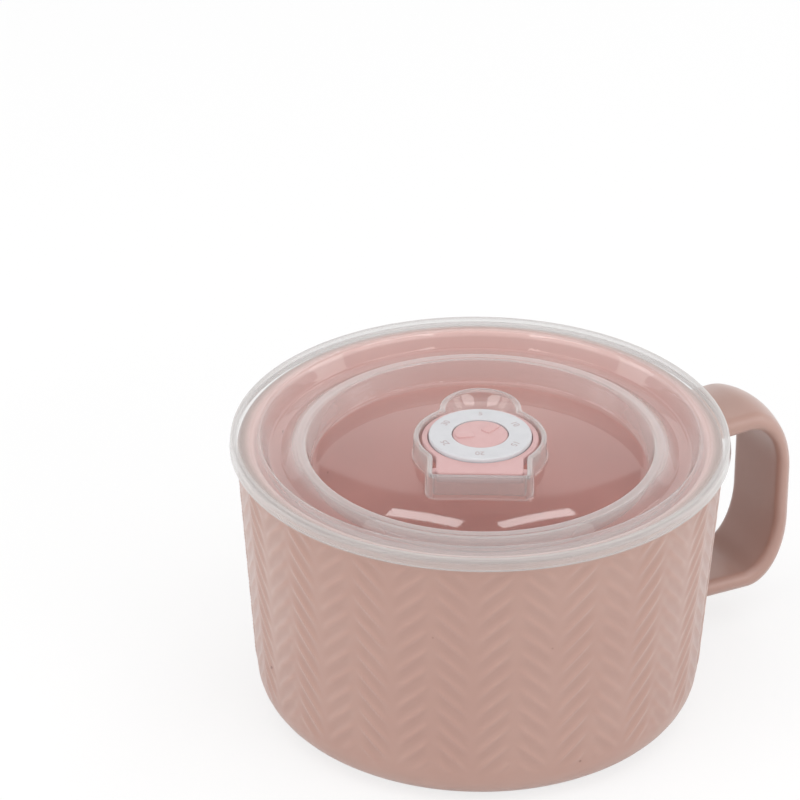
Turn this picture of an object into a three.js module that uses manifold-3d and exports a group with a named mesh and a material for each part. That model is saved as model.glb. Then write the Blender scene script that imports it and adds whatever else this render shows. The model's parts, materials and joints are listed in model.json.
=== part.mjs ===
// Lidded stoneware soup mug: a tapered mug with a luted strap handle, and a push-on lid whose
// steam hole is closed by a hinged flap that carries a date dial.
// Millimetres, +Z up. The origin is on the mug's axis, in the plane that the foot ring stands on,
// and the handle points along +X.

import * as THREE from 'three';
import { mergeVertices } from 'three/addons/utils/BufferGeometryUtils.js';
import Module from 'manifold-3d';

const wasm = await Module();
wasm.setup();

// Clearances
const SEAT_GAP = 0.3; // between a piece and the face that it rests on
const RUN_GAP = 0.25; // round a pin or disc that turns
const LID_FIT = 0.35; // lid to mug, on each side of the mug's rim

// Mug
const MUG_HEIGHT = 80.4;
const RIM_RADIUS = 66.9; // outside, at the top
const BASE_RADIUS = 61.3; // outside cone carried down to the table
const BASE_FILLET = 11;
const MUG_WALL = 4.8;
const LIP_ROUND = 2.2;
const FLOOR_THICKNESS = 5;
const FLOOR_FILLET = 12;
const FOOT_WIDTH = 4;
const FOOT_RECESS = 2;
const FOOT_ROUND = 0.8;

// Handle: a flat strap with round edges and a crowned outer face
const HANDLE_REACH = 98; // mug axis to the strap's outer edge
const HANDLE_TOP = 68.4; // upper strap's outer edge
const HANDLE_BOTTOM = 10.7; // lower strap's outer edge, at its outer end
const HANDLE_WIDTH = 23.6;
const HANDLE_EDGE = 4.9; // thickness along the strap's two edges, above and below
const HANDLE_SIDE = 4; // thickness along them at the far side
const HANDLE_CROWN = 2.6; // how far the middle of the outer face stands over its edges
const HANDLE_ROUND = 2.3;
const HANDLE_RISE = 0.085; // the lower strap climbs towards the mug, per mm
const OUTER_TOP_CORNER = [15, 22]; // half axes of the elliptical corners: along the radius, and in height
const OUTER_BOTTOM_CORNER = [13, 21];
const INNER_TOP_CORNER = [10.5, 14.5];
const INNER_BOTTOM_CORNER = [11, 18.5];

// Lid, from its skirt inwards
const LID_WALL = 1.2;
const SKIRT_HEIGHT = 3.1;
const SKIRT_FLARE = 0.4;
const LID_ROUND = 0.9; // outer edge of the lid's rim
const PLUG_TAPER = 2.4; // the wall inside the mug's rim leans in by this much
const TROUGH_DEPTH = 5.5; // trough's floor under the lid's rim
const RING_FOOT = 54.8; // radius where the raised ring leaves the trough
const RING_OUTER = 50.6;
const RING_INNER = 48;
const RING_DROP = 2.9; // ring's top under the lid's rim
const PANEL_RADIUS = 46.2;
const PANEL_DEPTH = 9.9; // panel's edge under the lid's rim
const PANEL_RISE = 3.4; // the panel domes up to its middle
const LID_FILLET = 1.3;
const LID_TURN = -32; // degrees, how the lid is put on: its hinge lies off the handle

// Vent housing on the lid: a keyhole wall with a finger scoop
const HOUSING_DROP = 0.9; // housing's top under the lid's rim
const HOUSING_WALL = 1.6;
const HOUSING_ROUND = 2.4; // outer corners of its tail
const DISC_GAP = 0.65; // flap's disc to the housing
const TAIL_SIDE_GAP = 0.85;
const TAIL_END_GAP = 1.95;
const SCOOP_CENTRE = 15.7;
const SCOOP_TOP = 10.1; // radius at the housing's top
const SCOOP_FOOT = 7; // radius at the panel
const STEAM_HOLE = 3; // radius

// Vent flap
const FLAP_DROP = 1.5; // flap's top under the lid's rim
const FLAP_RADIUS = 16.15;
const FLAP_PLATE = 2.4;
const TAIL_WIDTH = 23.9;
const TAIL_REACH = 19.95; // lid axis to the tail's end
const TAIL_THICKNESS = 3.4;
const TAIL_LENGTH = 6; // length of the tail's thick end
const HINGE_REACH = 17.8; // lid axis to hinge axis
const HINGE_DROP = 1.4; // hinge axis under the flap's top
const TRUNNION_RADIUS = 1.3;
const TRUNNION_BITE = 0.8; // how far it enters the housing
const FLAP_SKIRT_RADIUS = 14.6; // flap's stiffening skirt
const FLAP_SKIRT_WALL = 1.6;
const FLAP_SKIRT_DEPTH = 2;
const BOSS_WALL = 1.7;

// Date dial: a fixed ring of numbers round a turning pointer
const DIAL_OUTER = 14.2;
const DIAL_INNER = 7.85;
const DIAL_THICKNESS = 2;
const DIAL_RECESS = 1.2; // depth of its seat in the flap
const DIAL_CHAMFER = 0.3;
const DIAL_LIP = 1.05; // ring's lip over the pointer's flange
const KNOB_DROP = 0.25; // pointer's face under the ring's
const KNOB_FLANGE = 1.6; // flange beyond the pointer's face
const KNOB_FLANGE_THICKNESS = 0.6;
const KNOB_PIN = 2; // radius of the pivot on the flap
const KNOB_PIN_HEIGHT = 0.9;
const GRIP_HEIGHT = 0.45;
const GRIP_LENGTH = 5;
const GRIP_WIDTH = 3;
const GRIP_INSET = 0.9; // grips stay inside the pointer's edge
const GRIP_ANGLES = [190, 50]; // degrees

// Vent plug
const PLUG_STEM = 2.6;
const PLUG_HEAD = 5.2;
const PLUG_HEAD_THICKNESS = 1.2;
const PLUG_NOSE_LENGTH = 1.2;
const PLUG_NOSE_DRAFT = 0.5;

// Facets
const ROUND = 48; // a large turned piece
const SMALL_ROUND = 30;
const STRAP_STEPS = 3; // each rounded edge of the strap
const CORNER_STEPS = 8; // each bend of the strap, and across its crown
const DOME_STEPS = 5;
const ARC_PITCH = 2.5; // a larger fillet has more facets
const WELD = 1e-4; // points this close are one

// Levels and radii that follow from the sizes above
const taper = (RIM_RADIUS - BASE_RADIUS) / MUG_HEIGHT;
const lidTop = MUG_HEIGHT + SEAT_GAP + LID_WALL;
const lidRadius = RIM_RADIUS + LID_FIT + LID_WALL;
const panelTop = lidTop - PANEL_DEPTH + PANEL_RISE;
const housingTop = lidTop - HOUSING_DROP;
const flapTop = lidTop - FLAP_DROP;
const recessFloor = flapTop - DIAL_RECESS;
const hingeHeight = flapTop - HINGE_DROP;
const tailHalf = TAIL_WIDTH / 2;
const housingHalf = tailHalf + TAIL_SIDE_GAP;
const knobRadius = DIAL_INNER - RUN_GAP;
const flangeRadius = knobRadius + KNOB_FLANGE;
const degrees = Math.PI / 180;

// Points along a polyline whose corners [x, y, radius] are rounded by arcs.
function rounded(corners, coarse = false) {
  const points = [];
  corners.forEach(([x, y, radius = 0], i) => {
    const corner = new THREE.Vector2(x, y);
    if (!radius || i === 0 || i === corners.length - 1) {
      points.push(corner);
      return;
    }
    const before = new THREE.Vector2(...corners[i - 1].slice(0, 2)).sub(corner).normalize();
    const after = new THREE.Vector2(...corners[i + 1].slice(0, 2)).sub(corner).normalize();
    const half = Math.acos(THREE.MathUtils.clamp(before.dot(after), -1, 1)) / 2;
    const middle = before.clone().add(after).normalize();
    const centre = corner.clone().addScaledVector(middle, radius / Math.sin(half));
    const start = corner.clone().addScaledVector(before, radius / Math.tan(half)).sub(centre);
    const sweep = Math.PI - 2 * half;
    const sign = Math.sign(after.cross(before)) || 1;
    const steps = coarse ? 1 : Math.max(2, Math.round(1 + radius / ARC_PITCH));
    for (let k = 0; k <= steps; k++) {
      points.push(start.clone().rotateAround(new THREE.Vector2(), sign * sweep * (k / steps)).add(centre));
    }
  });
  return points;
}

// The same corners moved sideways by a distance, to the left of the line's direction.
function offsetCorners(corners, distance) {
  const at = corners.map(([x, y]) => new THREE.Vector2(x, y));
  return corners.map(([x, y, radius = 0], i) => {
    const into = at[i].clone().sub(at[Math.max(i - 1, 0)]).normalize();
    const out = at[Math.min(i + 1, at.length - 1)].clone().sub(at[i]).normalize();
    const first = i === 0 ? out : into;
    const last = i === at.length - 1 ? into : out;
    const normal = new THREE.Vector2(-first.y, first.x);
    const mitre = normal.clone().add(new THREE.Vector2(-last.y, last.x));
    mitre.multiplyScalar(distance / mitre.dot(normal));
    const turn = Math.sign(first.cross(last));
    const newRadius = radius ? Math.max(radius - turn * distance, LID_WALL / 4) : 0;
    return [x + mitre.x, y + mitre.y, newRadius];
  });
}

// One closed body: shared vertices merged, collapsed triangles dropped, faces pointing out.
function closed(geometry) {
  const bare = geometry.clone();
  for (const name of Object.keys(bare.attributes)) {
    if (name !== 'position') bare.deleteAttribute(name);
  }
  const merged = mergeVertices(bare, WELD);
  const index = Array.from(merged.index.array);
  const kept = [];
  for (let i = 0; i < index.length; i += 3) {
    const [a, b, c] = index.slice(i, i + 3);
    if (a !== b && b !== c && c !== a) kept.push(a, b, c);
  }
  const place = merged.attributes.position;
  const [p, q, r] = [new THREE.Vector3(), new THREE.Vector3(), new THREE.Vector3()];
  let volume = 0;
  for (let i = 0; i < kept.length; i += 3) {
    p.fromBufferAttribute(place, kept[i]);
    q.fromBufferAttribute(place, kept[i + 1]);
    r.fromBufferAttribute(place, kept[i + 2]);
    volume += p.dot(q.cross(r));
  }
  if (volume < 0) kept.reverse();
  merged.setIndex(kept);
  return merged;
}

function toSolid(geometry) {
  const body = closed(geometry);
  const vertProperties = Float32Array.from(body.attributes.position.array);
  const triVerts = Uint32Array.from(body.index.array);
  return new wasm.Manifold(new wasm.Mesh({ numProp: 3, vertProperties, triVerts }));
}

function toGeometry(solid) {
  const mesh = solid.getMesh();
  const geometry = new THREE.BufferGeometry();
  geometry.setAttribute('position', new THREE.BufferAttribute(Float32Array.from(mesh.vertProperties), 3));
  geometry.setIndex(new THREE.BufferAttribute(Uint32Array.from(mesh.triVerts), 1));
  return geometry;
}

// A body turned about Z from a profile of (radius, height) points.
function turned(points, sides = SMALL_ROUND) {
  return toSolid(new THREE.LatheGeometry(points, sides).rotateX(Math.PI / 2));
}

// A turned ring or disc from corners [radius, height], closed on itself.
function turnedRing(corners, sides = SMALL_ROUND) {
  const points = corners.map(([radius, height]) => new THREE.Vector2(radius, height));
  points.push(points[0].clone());
  return turned(points, sides);
}

function turnedDisc(radius, low, high, sides = SMALL_ROUND) {
  return turnedRing([[0, low], [radius, low], [radius, high], [0, high]], sides);
}

// An outline in XY raised between two heights.
function raised(shape, low, high) {
  const geometry = new THREE.ExtrudeGeometry(shape, {
    depth: high - low,
    bevelEnabled: false,
    curveSegments: SMALL_ROUND,
  });
  return toSolid(geometry.translate(0, 0, low));
}

// A round disc with a straight-sided tail towards -Y.
function keyhole(radius, half, reach, cornerRadius = 0) {
  const join = Math.sqrt(radius * radius - half * half);
  const shape = new THREE.Shape();
  shape.moveTo(-half, -join);
  const tail = [[-half, -join], [-half, -reach, cornerRadius], [half, -reach, cornerRadius], [half, -join]];
  for (const point of rounded(tail).slice(1)) shape.lineTo(point.x, point.y);
  shape.absarc(0, 0, radius, Math.atan2(-join, half), Math.PI + Math.atan2(join, half), false);
  return shape;
}

// Turned stoneware mug: recessed foot, tapered wall and a rounded lip.
function mugBody() {
  const floor = FOOT_RECESS + FLOOR_THICKNESS;
  const footInner = BASE_RADIUS - BASE_FILLET - FOOT_WIDTH;
  const innerBase = BASE_RADIUS + taper * floor - MUG_WALL;
  return turned(rounded([
    [0, FOOT_RECESS],
    [footInner, FOOT_RECESS, FOOT_ROUND],
    [footInner, 0, FOOT_ROUND],
    [BASE_RADIUS, 0, BASE_FILLET],
    [RIM_RADIUS, MUG_HEIGHT, LIP_ROUND],
    [RIM_RADIUS - MUG_WALL, MUG_HEIGHT, LIP_ROUND],
    [innerBase, floor, FLOOR_FILLET],
    [0, floor],
  ]), ROUND);
}

// One side line of the handle in (radius, height), from the upper end to the lower one.
function handleLine(inset, sideInset, topCorner, bottomCorner) {
  const reach = HANDLE_REACH - sideInset;
  const top = HANDLE_TOP - inset;
  const bottom = HANDLE_BOTTOM + inset;
  const root = RIM_RADIUS - MUG_WALL;
  const middle = (top + bottom) / 2;
  const points = [new THREE.Vector2(root, top)];
  const corner = ([a, b], height, from) => {
    for (let k = 0; k <= CORNER_STEPS; k++) {
      const angle = (from - (90 * k) / CORNER_STEPS) * degrees;
      points.push(new THREE.Vector2(reach - a + a * Math.cos(angle), height + b * Math.sin(angle)));
    }
  };
  corner(topCorner, top - topCorner[1], 90);
  corner(bottomCorner, bottom + bottomCorner[1], 0);
  points.push(new THREE.Vector2(root, bottom));
  for (const point of points) {
    const low = THREE.MathUtils.clamp((middle - point.y) / (middle - bottom), 0, 1);
    point.y += HANDLE_RISE * (reach - point.x) * low;
  }
  return points;
}

// Strap's section: [across the strap, share of the edge thickness, share of the crown].
function strapSection() {
  const half = HANDLE_WIDTH / 2;
  const flat = half - HANDLE_ROUND;
  const section = [];
  const arc = (side, level, from) => {
    for (let k = 0; k <= STRAP_STEPS; k++) {
      const angle = (from + (90 * k) / STRAP_STEPS) * degrees;
      section.push([side * flat + HANDLE_ROUND * Math.cos(angle), level + HANDLE_ROUND * Math.sin(angle)]);
    }
  };
  arc(1, HANDLE_ROUND, -90);
  arc(1, HANDLE_EDGE - HANDLE_ROUND, 0);
  for (let k = 1; k < CORNER_STEPS; k++) section.push([flat * (1 - (2 * k) / CORNER_STEPS), HANDLE_EDGE]);
  arc(-1, HANDLE_EDGE - HANDLE_ROUND, 90);
  arc(-1, HANDLE_ROUND, 180);
  return section.map(([across, level]) => {
    const share = level / HANDLE_EDGE;
    return [across, share, share * (1 - (across / half) ** 2)];
  });
}

// Strap handle lofted between its inner and outer side lines, its ends cut to the mug's wall.
function handle() {
  const outer = handleLine(0, 0, OUTER_TOP_CORNER, OUTER_BOTTOM_CORNER);
  const inner = handleLine(HANDLE_EDGE, HANDLE_SIDE, INNER_TOP_CORNER, INNER_BOTTOM_CORNER);
  const section = strapSection();
  const count = section.length;
  const vertices = [];
  const index = [];
  outer.forEach((edge, station) => {
    const through = edge.clone().sub(inner[station]);
    const out = through.clone().normalize();
    for (const [across, share, crown] of section) {
      const x = inner[station].x + through.x * share + out.x * crown * HANDLE_CROWN;
      const z = inner[station].y + through.y * share + out.y * crown * HANDLE_CROWN;
      vertices.push(x, across, z);
    }
    if (station === 0) return;
    for (let k = 0; k < count; k++) {
      const [a, b] = [(station - 1) * count + k, (station - 1) * count + ((k + 1) % count)];
      index.push(a, b, b + count, a, b + count, a + count);
    }
  });
  const last = (outer.length - 1) * count;
  for (let k = 1; k < count - 1; k++) {
    index.push(0, k + 1, k);
    index.push(last, last + k, last + k + 1);
  }
  const geometry = new THREE.BufferGeometry();
  geometry.setAttribute('position', new THREE.Float32BufferAttribute(vertices, 3));
  geometry.setIndex(index);
  const above = 2 * MUG_HEIGHT;
  const seat = turned(rounded([
    [0, -above],
    [BASE_RADIUS - taper * above + SEAT_GAP, -above],
    [BASE_RADIUS + taper * above + SEAT_GAP, above],
    [0, above],
  ]), ROUND);
  return toSolid(geometry).subtract(seat);
}

// Height of the domed panel's upper face at a radius.
function panelHeight(radius) {
  return panelTop - PANEL_RISE * (radius / PANEL_RADIUS) ** 2;
}

// Corners of the lid's upper face, from the skirt's lower edge in to the axis.
function lidCorners() {
  const plug = RIM_RADIUS - MUG_WALL - LID_FIT - LID_WALL;
  const trough = lidTop - TROUGH_DEPTH;
  const ring = lidTop - RING_DROP;
  const dome = [];
  for (let k = DOME_STEPS - 1; k >= 0; k--) {
    const radius = (PANEL_RADIUS * k) / DOME_STEPS;
    dome.push([radius, panelHeight(radius)]);
  }
  return [
    [lidRadius + SKIRT_FLARE, lidTop - SKIRT_HEIGHT],
    [lidRadius, lidTop, LID_ROUND],
    [plug, lidTop, LID_FILLET],
    [plug - PLUG_TAPER, trough, LID_FILLET],
    [RING_FOOT, trough, LID_FILLET],
    [RING_OUTER, ring, LID_ROUND],
    [RING_INNER, ring, LID_ROUND],
    [PANEL_RADIUS, panelHeight(PANEL_RADIUS), LID_FILLET],
    ...dome,
  ];
}

// Everything over the middle of the panel's wall, out to the panel's edge.
function spaceOverPanel() {
  const points = [];
  for (let k = 0; k <= DOME_STEPS; k++) {
    const radius = (PANEL_RADIUS * k) / DOME_STEPS;
    points.push([radius, panelHeight(radius) - LID_WALL / 2]);
  }
  points.push([PANEL_RADIUS, housingTop], [0, housingTop]);
  return turnedRing(points, ROUND);
}

// Tapered finger scoop behind the flap's round end.
function scoop(extra, low, high) {
  const slope = (SCOOP_TOP - SCOOP_FOOT) / (housingTop - panelTop);
  const radiusAt = (height) => SCOOP_TOP + extra - slope * (housingTop - height);
  return turnedRing([[0, low], [radiusAt(low), low], [radiusAt(high), high], [0, high]])
    .translate([0, SCOOP_CENTRE, 0]);
}

// Moulded lid: rim, trough, raised ring and domed panel, with the vent housing on the panel.
function lid() {
  const upper = lidCorners();
  const lower = offsetCorners(upper, LID_WALL);
  const profile = rounded(upper).concat(rounded(lower, true).reverse());
  for (const point of profile) point.x = Math.max(point.x, 0);
  profile.push(profile[0].clone());
  const shell = turned(profile, ROUND);

  const under = panelHeight(PANEL_RADIUS) - LID_WALL;
  const over = housingTop + HOUSING_WALL;
  const innerRadius = FLAP_RADIUS + DISC_GAP;
  const innerReach = TAIL_REACH + TAIL_END_GAP;
  const outline = keyhole(
    innerRadius + HOUSING_WALL, housingHalf + HOUSING_WALL, innerReach + HOUSING_WALL, HOUSING_ROUND,
  );
  const cavity = raised(
    keyhole(innerRadius, housingHalf, innerReach, HOUSING_ROUND - HOUSING_WALL), under, over,
  ).add(scoop(0, under, over));
  const housing = raised(outline, under, over)
    .add(scoop(HOUSING_WALL, under, over))
    .subtract(cavity)
    .intersect(spaceOverPanel());

  const socketReach = housingHalf + TRUNNION_BITE + RUN_GAP;
  const sockets = hingeRod(TRUNNION_RADIUS + RUN_GAP, socketReach);
  const steamHole = turnedDisc(STEAM_HOLE, under, over);
  return shell.add(housing).subtract(sockets).subtract(steamHole);
}

// A rod along the flap's hinge axis.
function hingeRod(radius, reach) {
  const rod = new THREE.CylinderGeometry(radius, radius, 2 * reach, SMALL_ROUND / 2);
  return toSolid(rod.rotateZ(Math.PI / 2).translate(0, -HINGE_REACH, hingeHeight));
}

// Hinged flap: plate with a seat for the dial, skirt and plug boss under it, trunnions at its tail.
function ventFlap() {
  const plateFoot = flapTop - FLAP_PLATE;
  const within = plateFoot + FLAP_PLATE / 4;
  const plate = raised(keyhole(FLAP_RADIUS, tailHalf, TAIL_REACH), plateFoot, flapTop);
  const seat = turnedDisc(DIAL_OUTER + RUN_GAP, recessFloor, flapTop + DIAL_THICKNESS);
  const pin = turnedDisc(KNOB_PIN, recessFloor - FLAP_PLATE / 4, recessFloor + KNOB_PIN_HEIGHT);
  const skirtInner = FLAP_SKIRT_RADIUS - FLAP_SKIRT_WALL;
  const skirtFoot = plateFoot - FLAP_SKIRT_DEPTH;
  const skirt = turnedRing([
    [skirtInner, skirtFoot],
    [FLAP_SKIRT_RADIUS, skirtFoot],
    [FLAP_SKIRT_RADIUS, within],
    [skirtInner, within],
  ]);
  const bossInner = PLUG_STEM + RUN_GAP;
  const bossOuter = bossInner + BOSS_WALL;
  const bossFoot = panelTop + SEAT_GAP + PLUG_HEAD_THICKNESS + SEAT_GAP;
  const boss = turnedRing([
    [bossInner, bossFoot],
    [bossOuter, bossFoot],
    [bossOuter, within],
    [bossInner, within],
  ]);
  const tail = new THREE.BoxGeometry(TAIL_WIDTH, TAIL_LENGTH, TAIL_THICKNESS);
  tail.translate(0, TAIL_LENGTH / 2 - TAIL_REACH, flapTop - TAIL_THICKNESS / 2);
  return plate
    .add(skirt)
    .add(boss)
    .add(toSolid(tail))
    .subtract(seat)
    .add(pin)
    .add(hingeRod(TRUNNION_RADIUS, housingHalf + TRUNNION_BITE));
}

// White ring of the dial, counterbored over the pointer's flange.
function dateRing() {
  const foot = recessFloor + SEAT_GAP;
  const top = foot + DIAL_THICKNESS;
  const bore = flangeRadius + RUN_GAP;
  return turnedRing([
    [bore, foot],
    [DIAL_OUTER, foot],
    [DIAL_OUTER, top - DIAL_CHAMFER],
    [DIAL_OUTER - DIAL_CHAMFER, top],
    [DIAL_INNER, top],
    [DIAL_INNER, top - DIAL_LIP],
    [bore, top - DIAL_LIP],
  ]);
}

// Turning pointer, a little under the ring's face, with two raised finger grips.
function pointerKnob() {
  const foot = recessFloor + SEAT_GAP;
  const top = foot + DIAL_THICKNESS - KNOB_DROP;
  const socket = recessFloor + KNOB_PIN_HEIGHT + RUN_GAP;
  const flangeTop = foot + KNOB_FLANGE_THICKNESS;
  const knob = turnedRing([
    [0, socket],
    [KNOB_PIN + RUN_GAP, socket],
    [KNOB_PIN + RUN_GAP, foot],
    [flangeRadius, foot],
    [flangeRadius, flangeTop],
    [knobRadius, flangeTop],
    [knobRadius, top - DIAL_CHAMFER],
    [knobRadius - DIAL_CHAMFER, top],
    [0, top],
  ]);
  const wedge = new THREE.Shape();
  wedge.moveTo(0, -GRIP_HEIGHT);
  wedge.lineTo(GRIP_LENGTH, -GRIP_HEIGHT);
  wedge.lineTo(GRIP_LENGTH, GRIP_HEIGHT);
  return GRIP_ANGLES.reduce((solid, angle) => {
    const grip = new THREE.ExtrudeGeometry(wedge, { depth: GRIP_WIDTH, bevelEnabled: false });
    grip.translate(knobRadius - GRIP_INSET - GRIP_LENGTH, 0, -GRIP_WIDTH / 2);
    grip.rotateX(Math.PI / 2);
    grip.rotateZ(angle * degrees);
    return solid.add(toSolid(grip.translate(0, 0, top)));
  }, knob);
}

// Soft plug under the flap: stem in the boss, flange on the panel and a tapered nose in the hole.
function ventPlug() {
  const seat = panelTop + SEAT_GAP;
  const headTop = seat + PLUG_HEAD_THICKNESS;
  const stemTop = flapTop - FLAP_PLATE - SEAT_GAP;
  const root = STEAM_HOLE - RUN_GAP;
  return turnedRing([
    [0, seat - PLUG_NOSE_LENGTH],
    [root - PLUG_NOSE_DRAFT, seat - PLUG_NOSE_LENGTH],
    [root, seat],
    [PLUG_HEAD, seat],
    [PLUG_HEAD, headTop],
    [PLUG_STEM, headTop],
    [PLUG_STEM, stemTop],
    [0, stemTop],
  ]);
}

function finish(color, roughness, extra = {}) {
  return new THREE.MeshStandardMaterial({ color, roughness, metalness: 0, ...extra });
}

function piece(name, solid, material) {
  const mesh = new THREE.Mesh(toGeometry(solid), material);
  mesh.name = name;
  return mesh;
}

const stoneware = '#b9978e';
const rosePlastic = '#dbb5b5';

const mug = new THREE.Group();
mug.add(
  piece('mug_body', mugBody(), finish(stoneware, 0.6)),
  piece('handle', handle(), finish(stoneware, 0.6)),
);

const cover = new THREE.Group();
cover.rotation.z = LID_TURN * degrees;
cover.add(
  piece('lid', lid(), finish('#d9cfcb', 0.3, { transparent: true, opacity: 0.45 })),
  piece('vent_flap', ventFlap(), finish(rosePlastic, 0.4)),
  piece('date_ring', dateRing(), finish('#e6e9eb', 0.45)),
  piece('pointer_knob', pointerKnob(), finish(rosePlastic, 0.4)),
  piece('vent_plug', ventPlug(), finish('#e8d6d2', 0.7)),
);
mug.add(cover);

export default mug;
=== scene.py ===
# %% [markdown]
# # A lidded stoneware soup mug
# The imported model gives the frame: where each piece of the mug is, and how it moves. This lesson
# dresses that frame. Each piece is built again as a finer mesh in the same place, gets a finish made
# of nodes, and rides on the body that its solid rides on.

# %% Load the frame
import bpy
import bmesh
import json
import math
import numpy as np
from mathutils import Matrix, Vector

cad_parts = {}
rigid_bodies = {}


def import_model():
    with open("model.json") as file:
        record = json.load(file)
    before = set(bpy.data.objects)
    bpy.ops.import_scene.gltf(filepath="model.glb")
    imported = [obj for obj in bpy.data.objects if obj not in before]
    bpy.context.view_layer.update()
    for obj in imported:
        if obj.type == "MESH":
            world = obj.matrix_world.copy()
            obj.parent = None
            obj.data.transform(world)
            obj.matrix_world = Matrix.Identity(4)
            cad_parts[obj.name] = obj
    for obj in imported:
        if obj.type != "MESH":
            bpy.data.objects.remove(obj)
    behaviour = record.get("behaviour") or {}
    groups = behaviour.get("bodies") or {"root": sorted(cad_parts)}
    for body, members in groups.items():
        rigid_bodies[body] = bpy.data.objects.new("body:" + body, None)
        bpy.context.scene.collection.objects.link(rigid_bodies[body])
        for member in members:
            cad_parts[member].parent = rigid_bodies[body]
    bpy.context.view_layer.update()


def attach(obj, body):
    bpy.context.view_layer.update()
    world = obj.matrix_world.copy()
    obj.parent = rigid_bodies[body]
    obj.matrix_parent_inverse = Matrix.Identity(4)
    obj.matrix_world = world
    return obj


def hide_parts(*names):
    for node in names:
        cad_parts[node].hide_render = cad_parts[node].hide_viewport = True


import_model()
MM = 0.001

# %% [markdown]
# ## Helpers for turned and lofted pieces
# Most of this object was turned on a wheel or moulded in a round tool, so a profile that is spun
# about the axis gives it best. The rest follows outlines that are stacked in rings. Two helpers cover
# both: one rounds the corners of a line, the other skins rings of points into a closed mesh. All
# sizes are millimetres until a mesh is made.

# %% Rounded lines
ARC_STEP = math.radians(9)
COARSE_STEP = math.radians(30)
FINE_STEP = math.radians(18)


def rounded(corners, step=ARC_STEP):
    """Points along a line of corners (x, y) or (x, y, radius), with the corners rounded by arcs."""
    points = []
    for i, corner in enumerate(corners):
        at = np.array(corner[:2], float)
        radius = corner[2] if len(corner) > 2 else 0
        if not radius or i in (0, len(corners) - 1):
            points.append(at)
            continue
        before = np.array(corners[i - 1][:2], float) - at
        after = np.array(corners[i + 1][:2], float) - at
        before /= np.linalg.norm(before)
        after /= np.linalg.norm(after)
        half = math.acos(np.clip(before @ after, -1, 1)) / 2
        middle = (before + after) / np.linalg.norm(before + after)
        centre = at + middle * radius / math.sin(half)
        start = at + before * radius / math.tan(half) - centre
        sweep = math.pi - 2 * half
        turn = np.sign(after[0] * before[1] - after[1] * before[0])
        count = max(2, math.ceil(sweep / step))
        for k in range(count + 1):
            angle = turn * sweep * k / count
            c, s = math.cos(angle), math.sin(angle)
            points.append(centre + np.array([c * start[0] - s * start[1], s * start[0] + c * start[1]]))
    return np.array(points)


def split(points, steps):
    """The same line, with each stretch from a to b cut into as many steps as steps(a, b) says."""
    line = [points[0]]
    for a, b in zip(points[:-1], points[1:]):
        count = max(1, steps(a, b))
        line += [a + (b - a) * k / count for k in range(1, count + 1)]
    return np.array(line)


def offset_corners(corners, distance, least=0.3):
    """The same corners moved sideways, to the left of the line's direction."""
    at = [np.array(corner[:2], float) for corner in corners]
    moved = []
    for i, corner in enumerate(corners):
        radius = corner[2] if len(corner) > 2 else 0
        into = at[i] - at[max(i - 1, 0)]
        out = at[min(i + 1, len(at) - 1)] - at[i]
        first = out if i == 0 else into
        last = into if i == len(at) - 1 else out
        first, last = first / np.linalg.norm(first), last / np.linalg.norm(last)
        normal = np.array([-first[1], first[0]])
        mitre = normal + np.array([-last[1], last[0]])
        mitre *= distance / (mitre @ normal)
        turn = np.sign(first[0] * last[1] - first[1] * last[0])
        new_radius = max(radius - turn * distance, least) if radius else 0
        moved.append((*(at[i] + mitre), new_radius))
    return moved


print("helpers for lines: rounded, split, offset_corners")

# %% Skins over rings
SHARP = 35


def make_object(name, vertices, faces, sharp=SHARP):
    """An object at the origin from points in millimetres: doubles merged, faces outward, smooth."""
    mesh = bpy.data.meshes.new(name)
    mesh.from_pydata([Vector(v) * MM for v in vertices], [], faces)
    shell = bmesh.new()
    shell.from_mesh(mesh)
    bmesh.ops.remove_doubles(shell, verts=shell.verts, dist=1e-6)
    bmesh.ops.recalc_face_normals(shell, faces=shell.faces)
    shell.to_mesh(mesh)
    shell.free()
    obj = bpy.data.objects.new(name, mesh)
    bpy.context.scene.collection.objects.link(obj)
    return smooth(obj, sharp)


def smooth(obj, sharp=SHARP):
    """Shades obj smooth, apart from edges sharper than an angle in degrees."""
    obj.data.polygons.foreach_set("use_smooth", [True] * len(obj.data.polygons))
    obj.data.set_sharp_from_angle(angle=math.radians(sharp))
    return obj


def skin(rings, closed=False, capped=False):
    """Vertices and faces over equal rings. closed joins the last to the first, capped fills both ends."""
    rings = [np.asarray(ring, float) for ring in rings]
    count = len(rings[0])
    vertices = np.concatenate(rings)
    faces = []
    for k in range(len(rings) if closed else len(rings) - 1):
        low, high = k * count, ((k + 1) % len(rings)) * count
        for i in range(count):
            j = (i + 1) % count
            faces.append((low + i, low + j, high + j, high + i))
    if capped:
        faces += [tuple(range(count))[::-1], tuple(range(len(vertices) - count, len(vertices)))]
    return vertices, faces


def turned_rings(profile, sides):
    """Rings about Z from a profile of (radius, height)."""
    angle = np.linspace(0, 2 * math.pi, sides, endpoint=False)
    return [
        np.stack([r * np.cos(angle), r * np.sin(angle), np.full(sides, z)], axis=1)
        for r, z in profile
    ]


def turned(name, profile, sides, sharp=SHARP):
    """A turned body. A profile that starts and ends off the axis is closed on itself."""
    closed = profile[0][0] > 1e-6
    return make_object(name, *skin(turned_rings(profile, sides), closed), sharp=sharp)


print("helpers for meshes: make_object, smooth, skin, turned")


# %% Joining and cutting
def merge(name, objects):
    """One object from several, which are deleted."""
    for other in objects[1:]:
        shell = bmesh.new()
        shell.from_mesh(objects[0].data)
        shell.from_mesh(other.data)
        shell.to_mesh(objects[0].data)
        shell.free()
        bpy.data.objects.remove(other)
    objects[0].name = name
    return objects[0]


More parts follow.
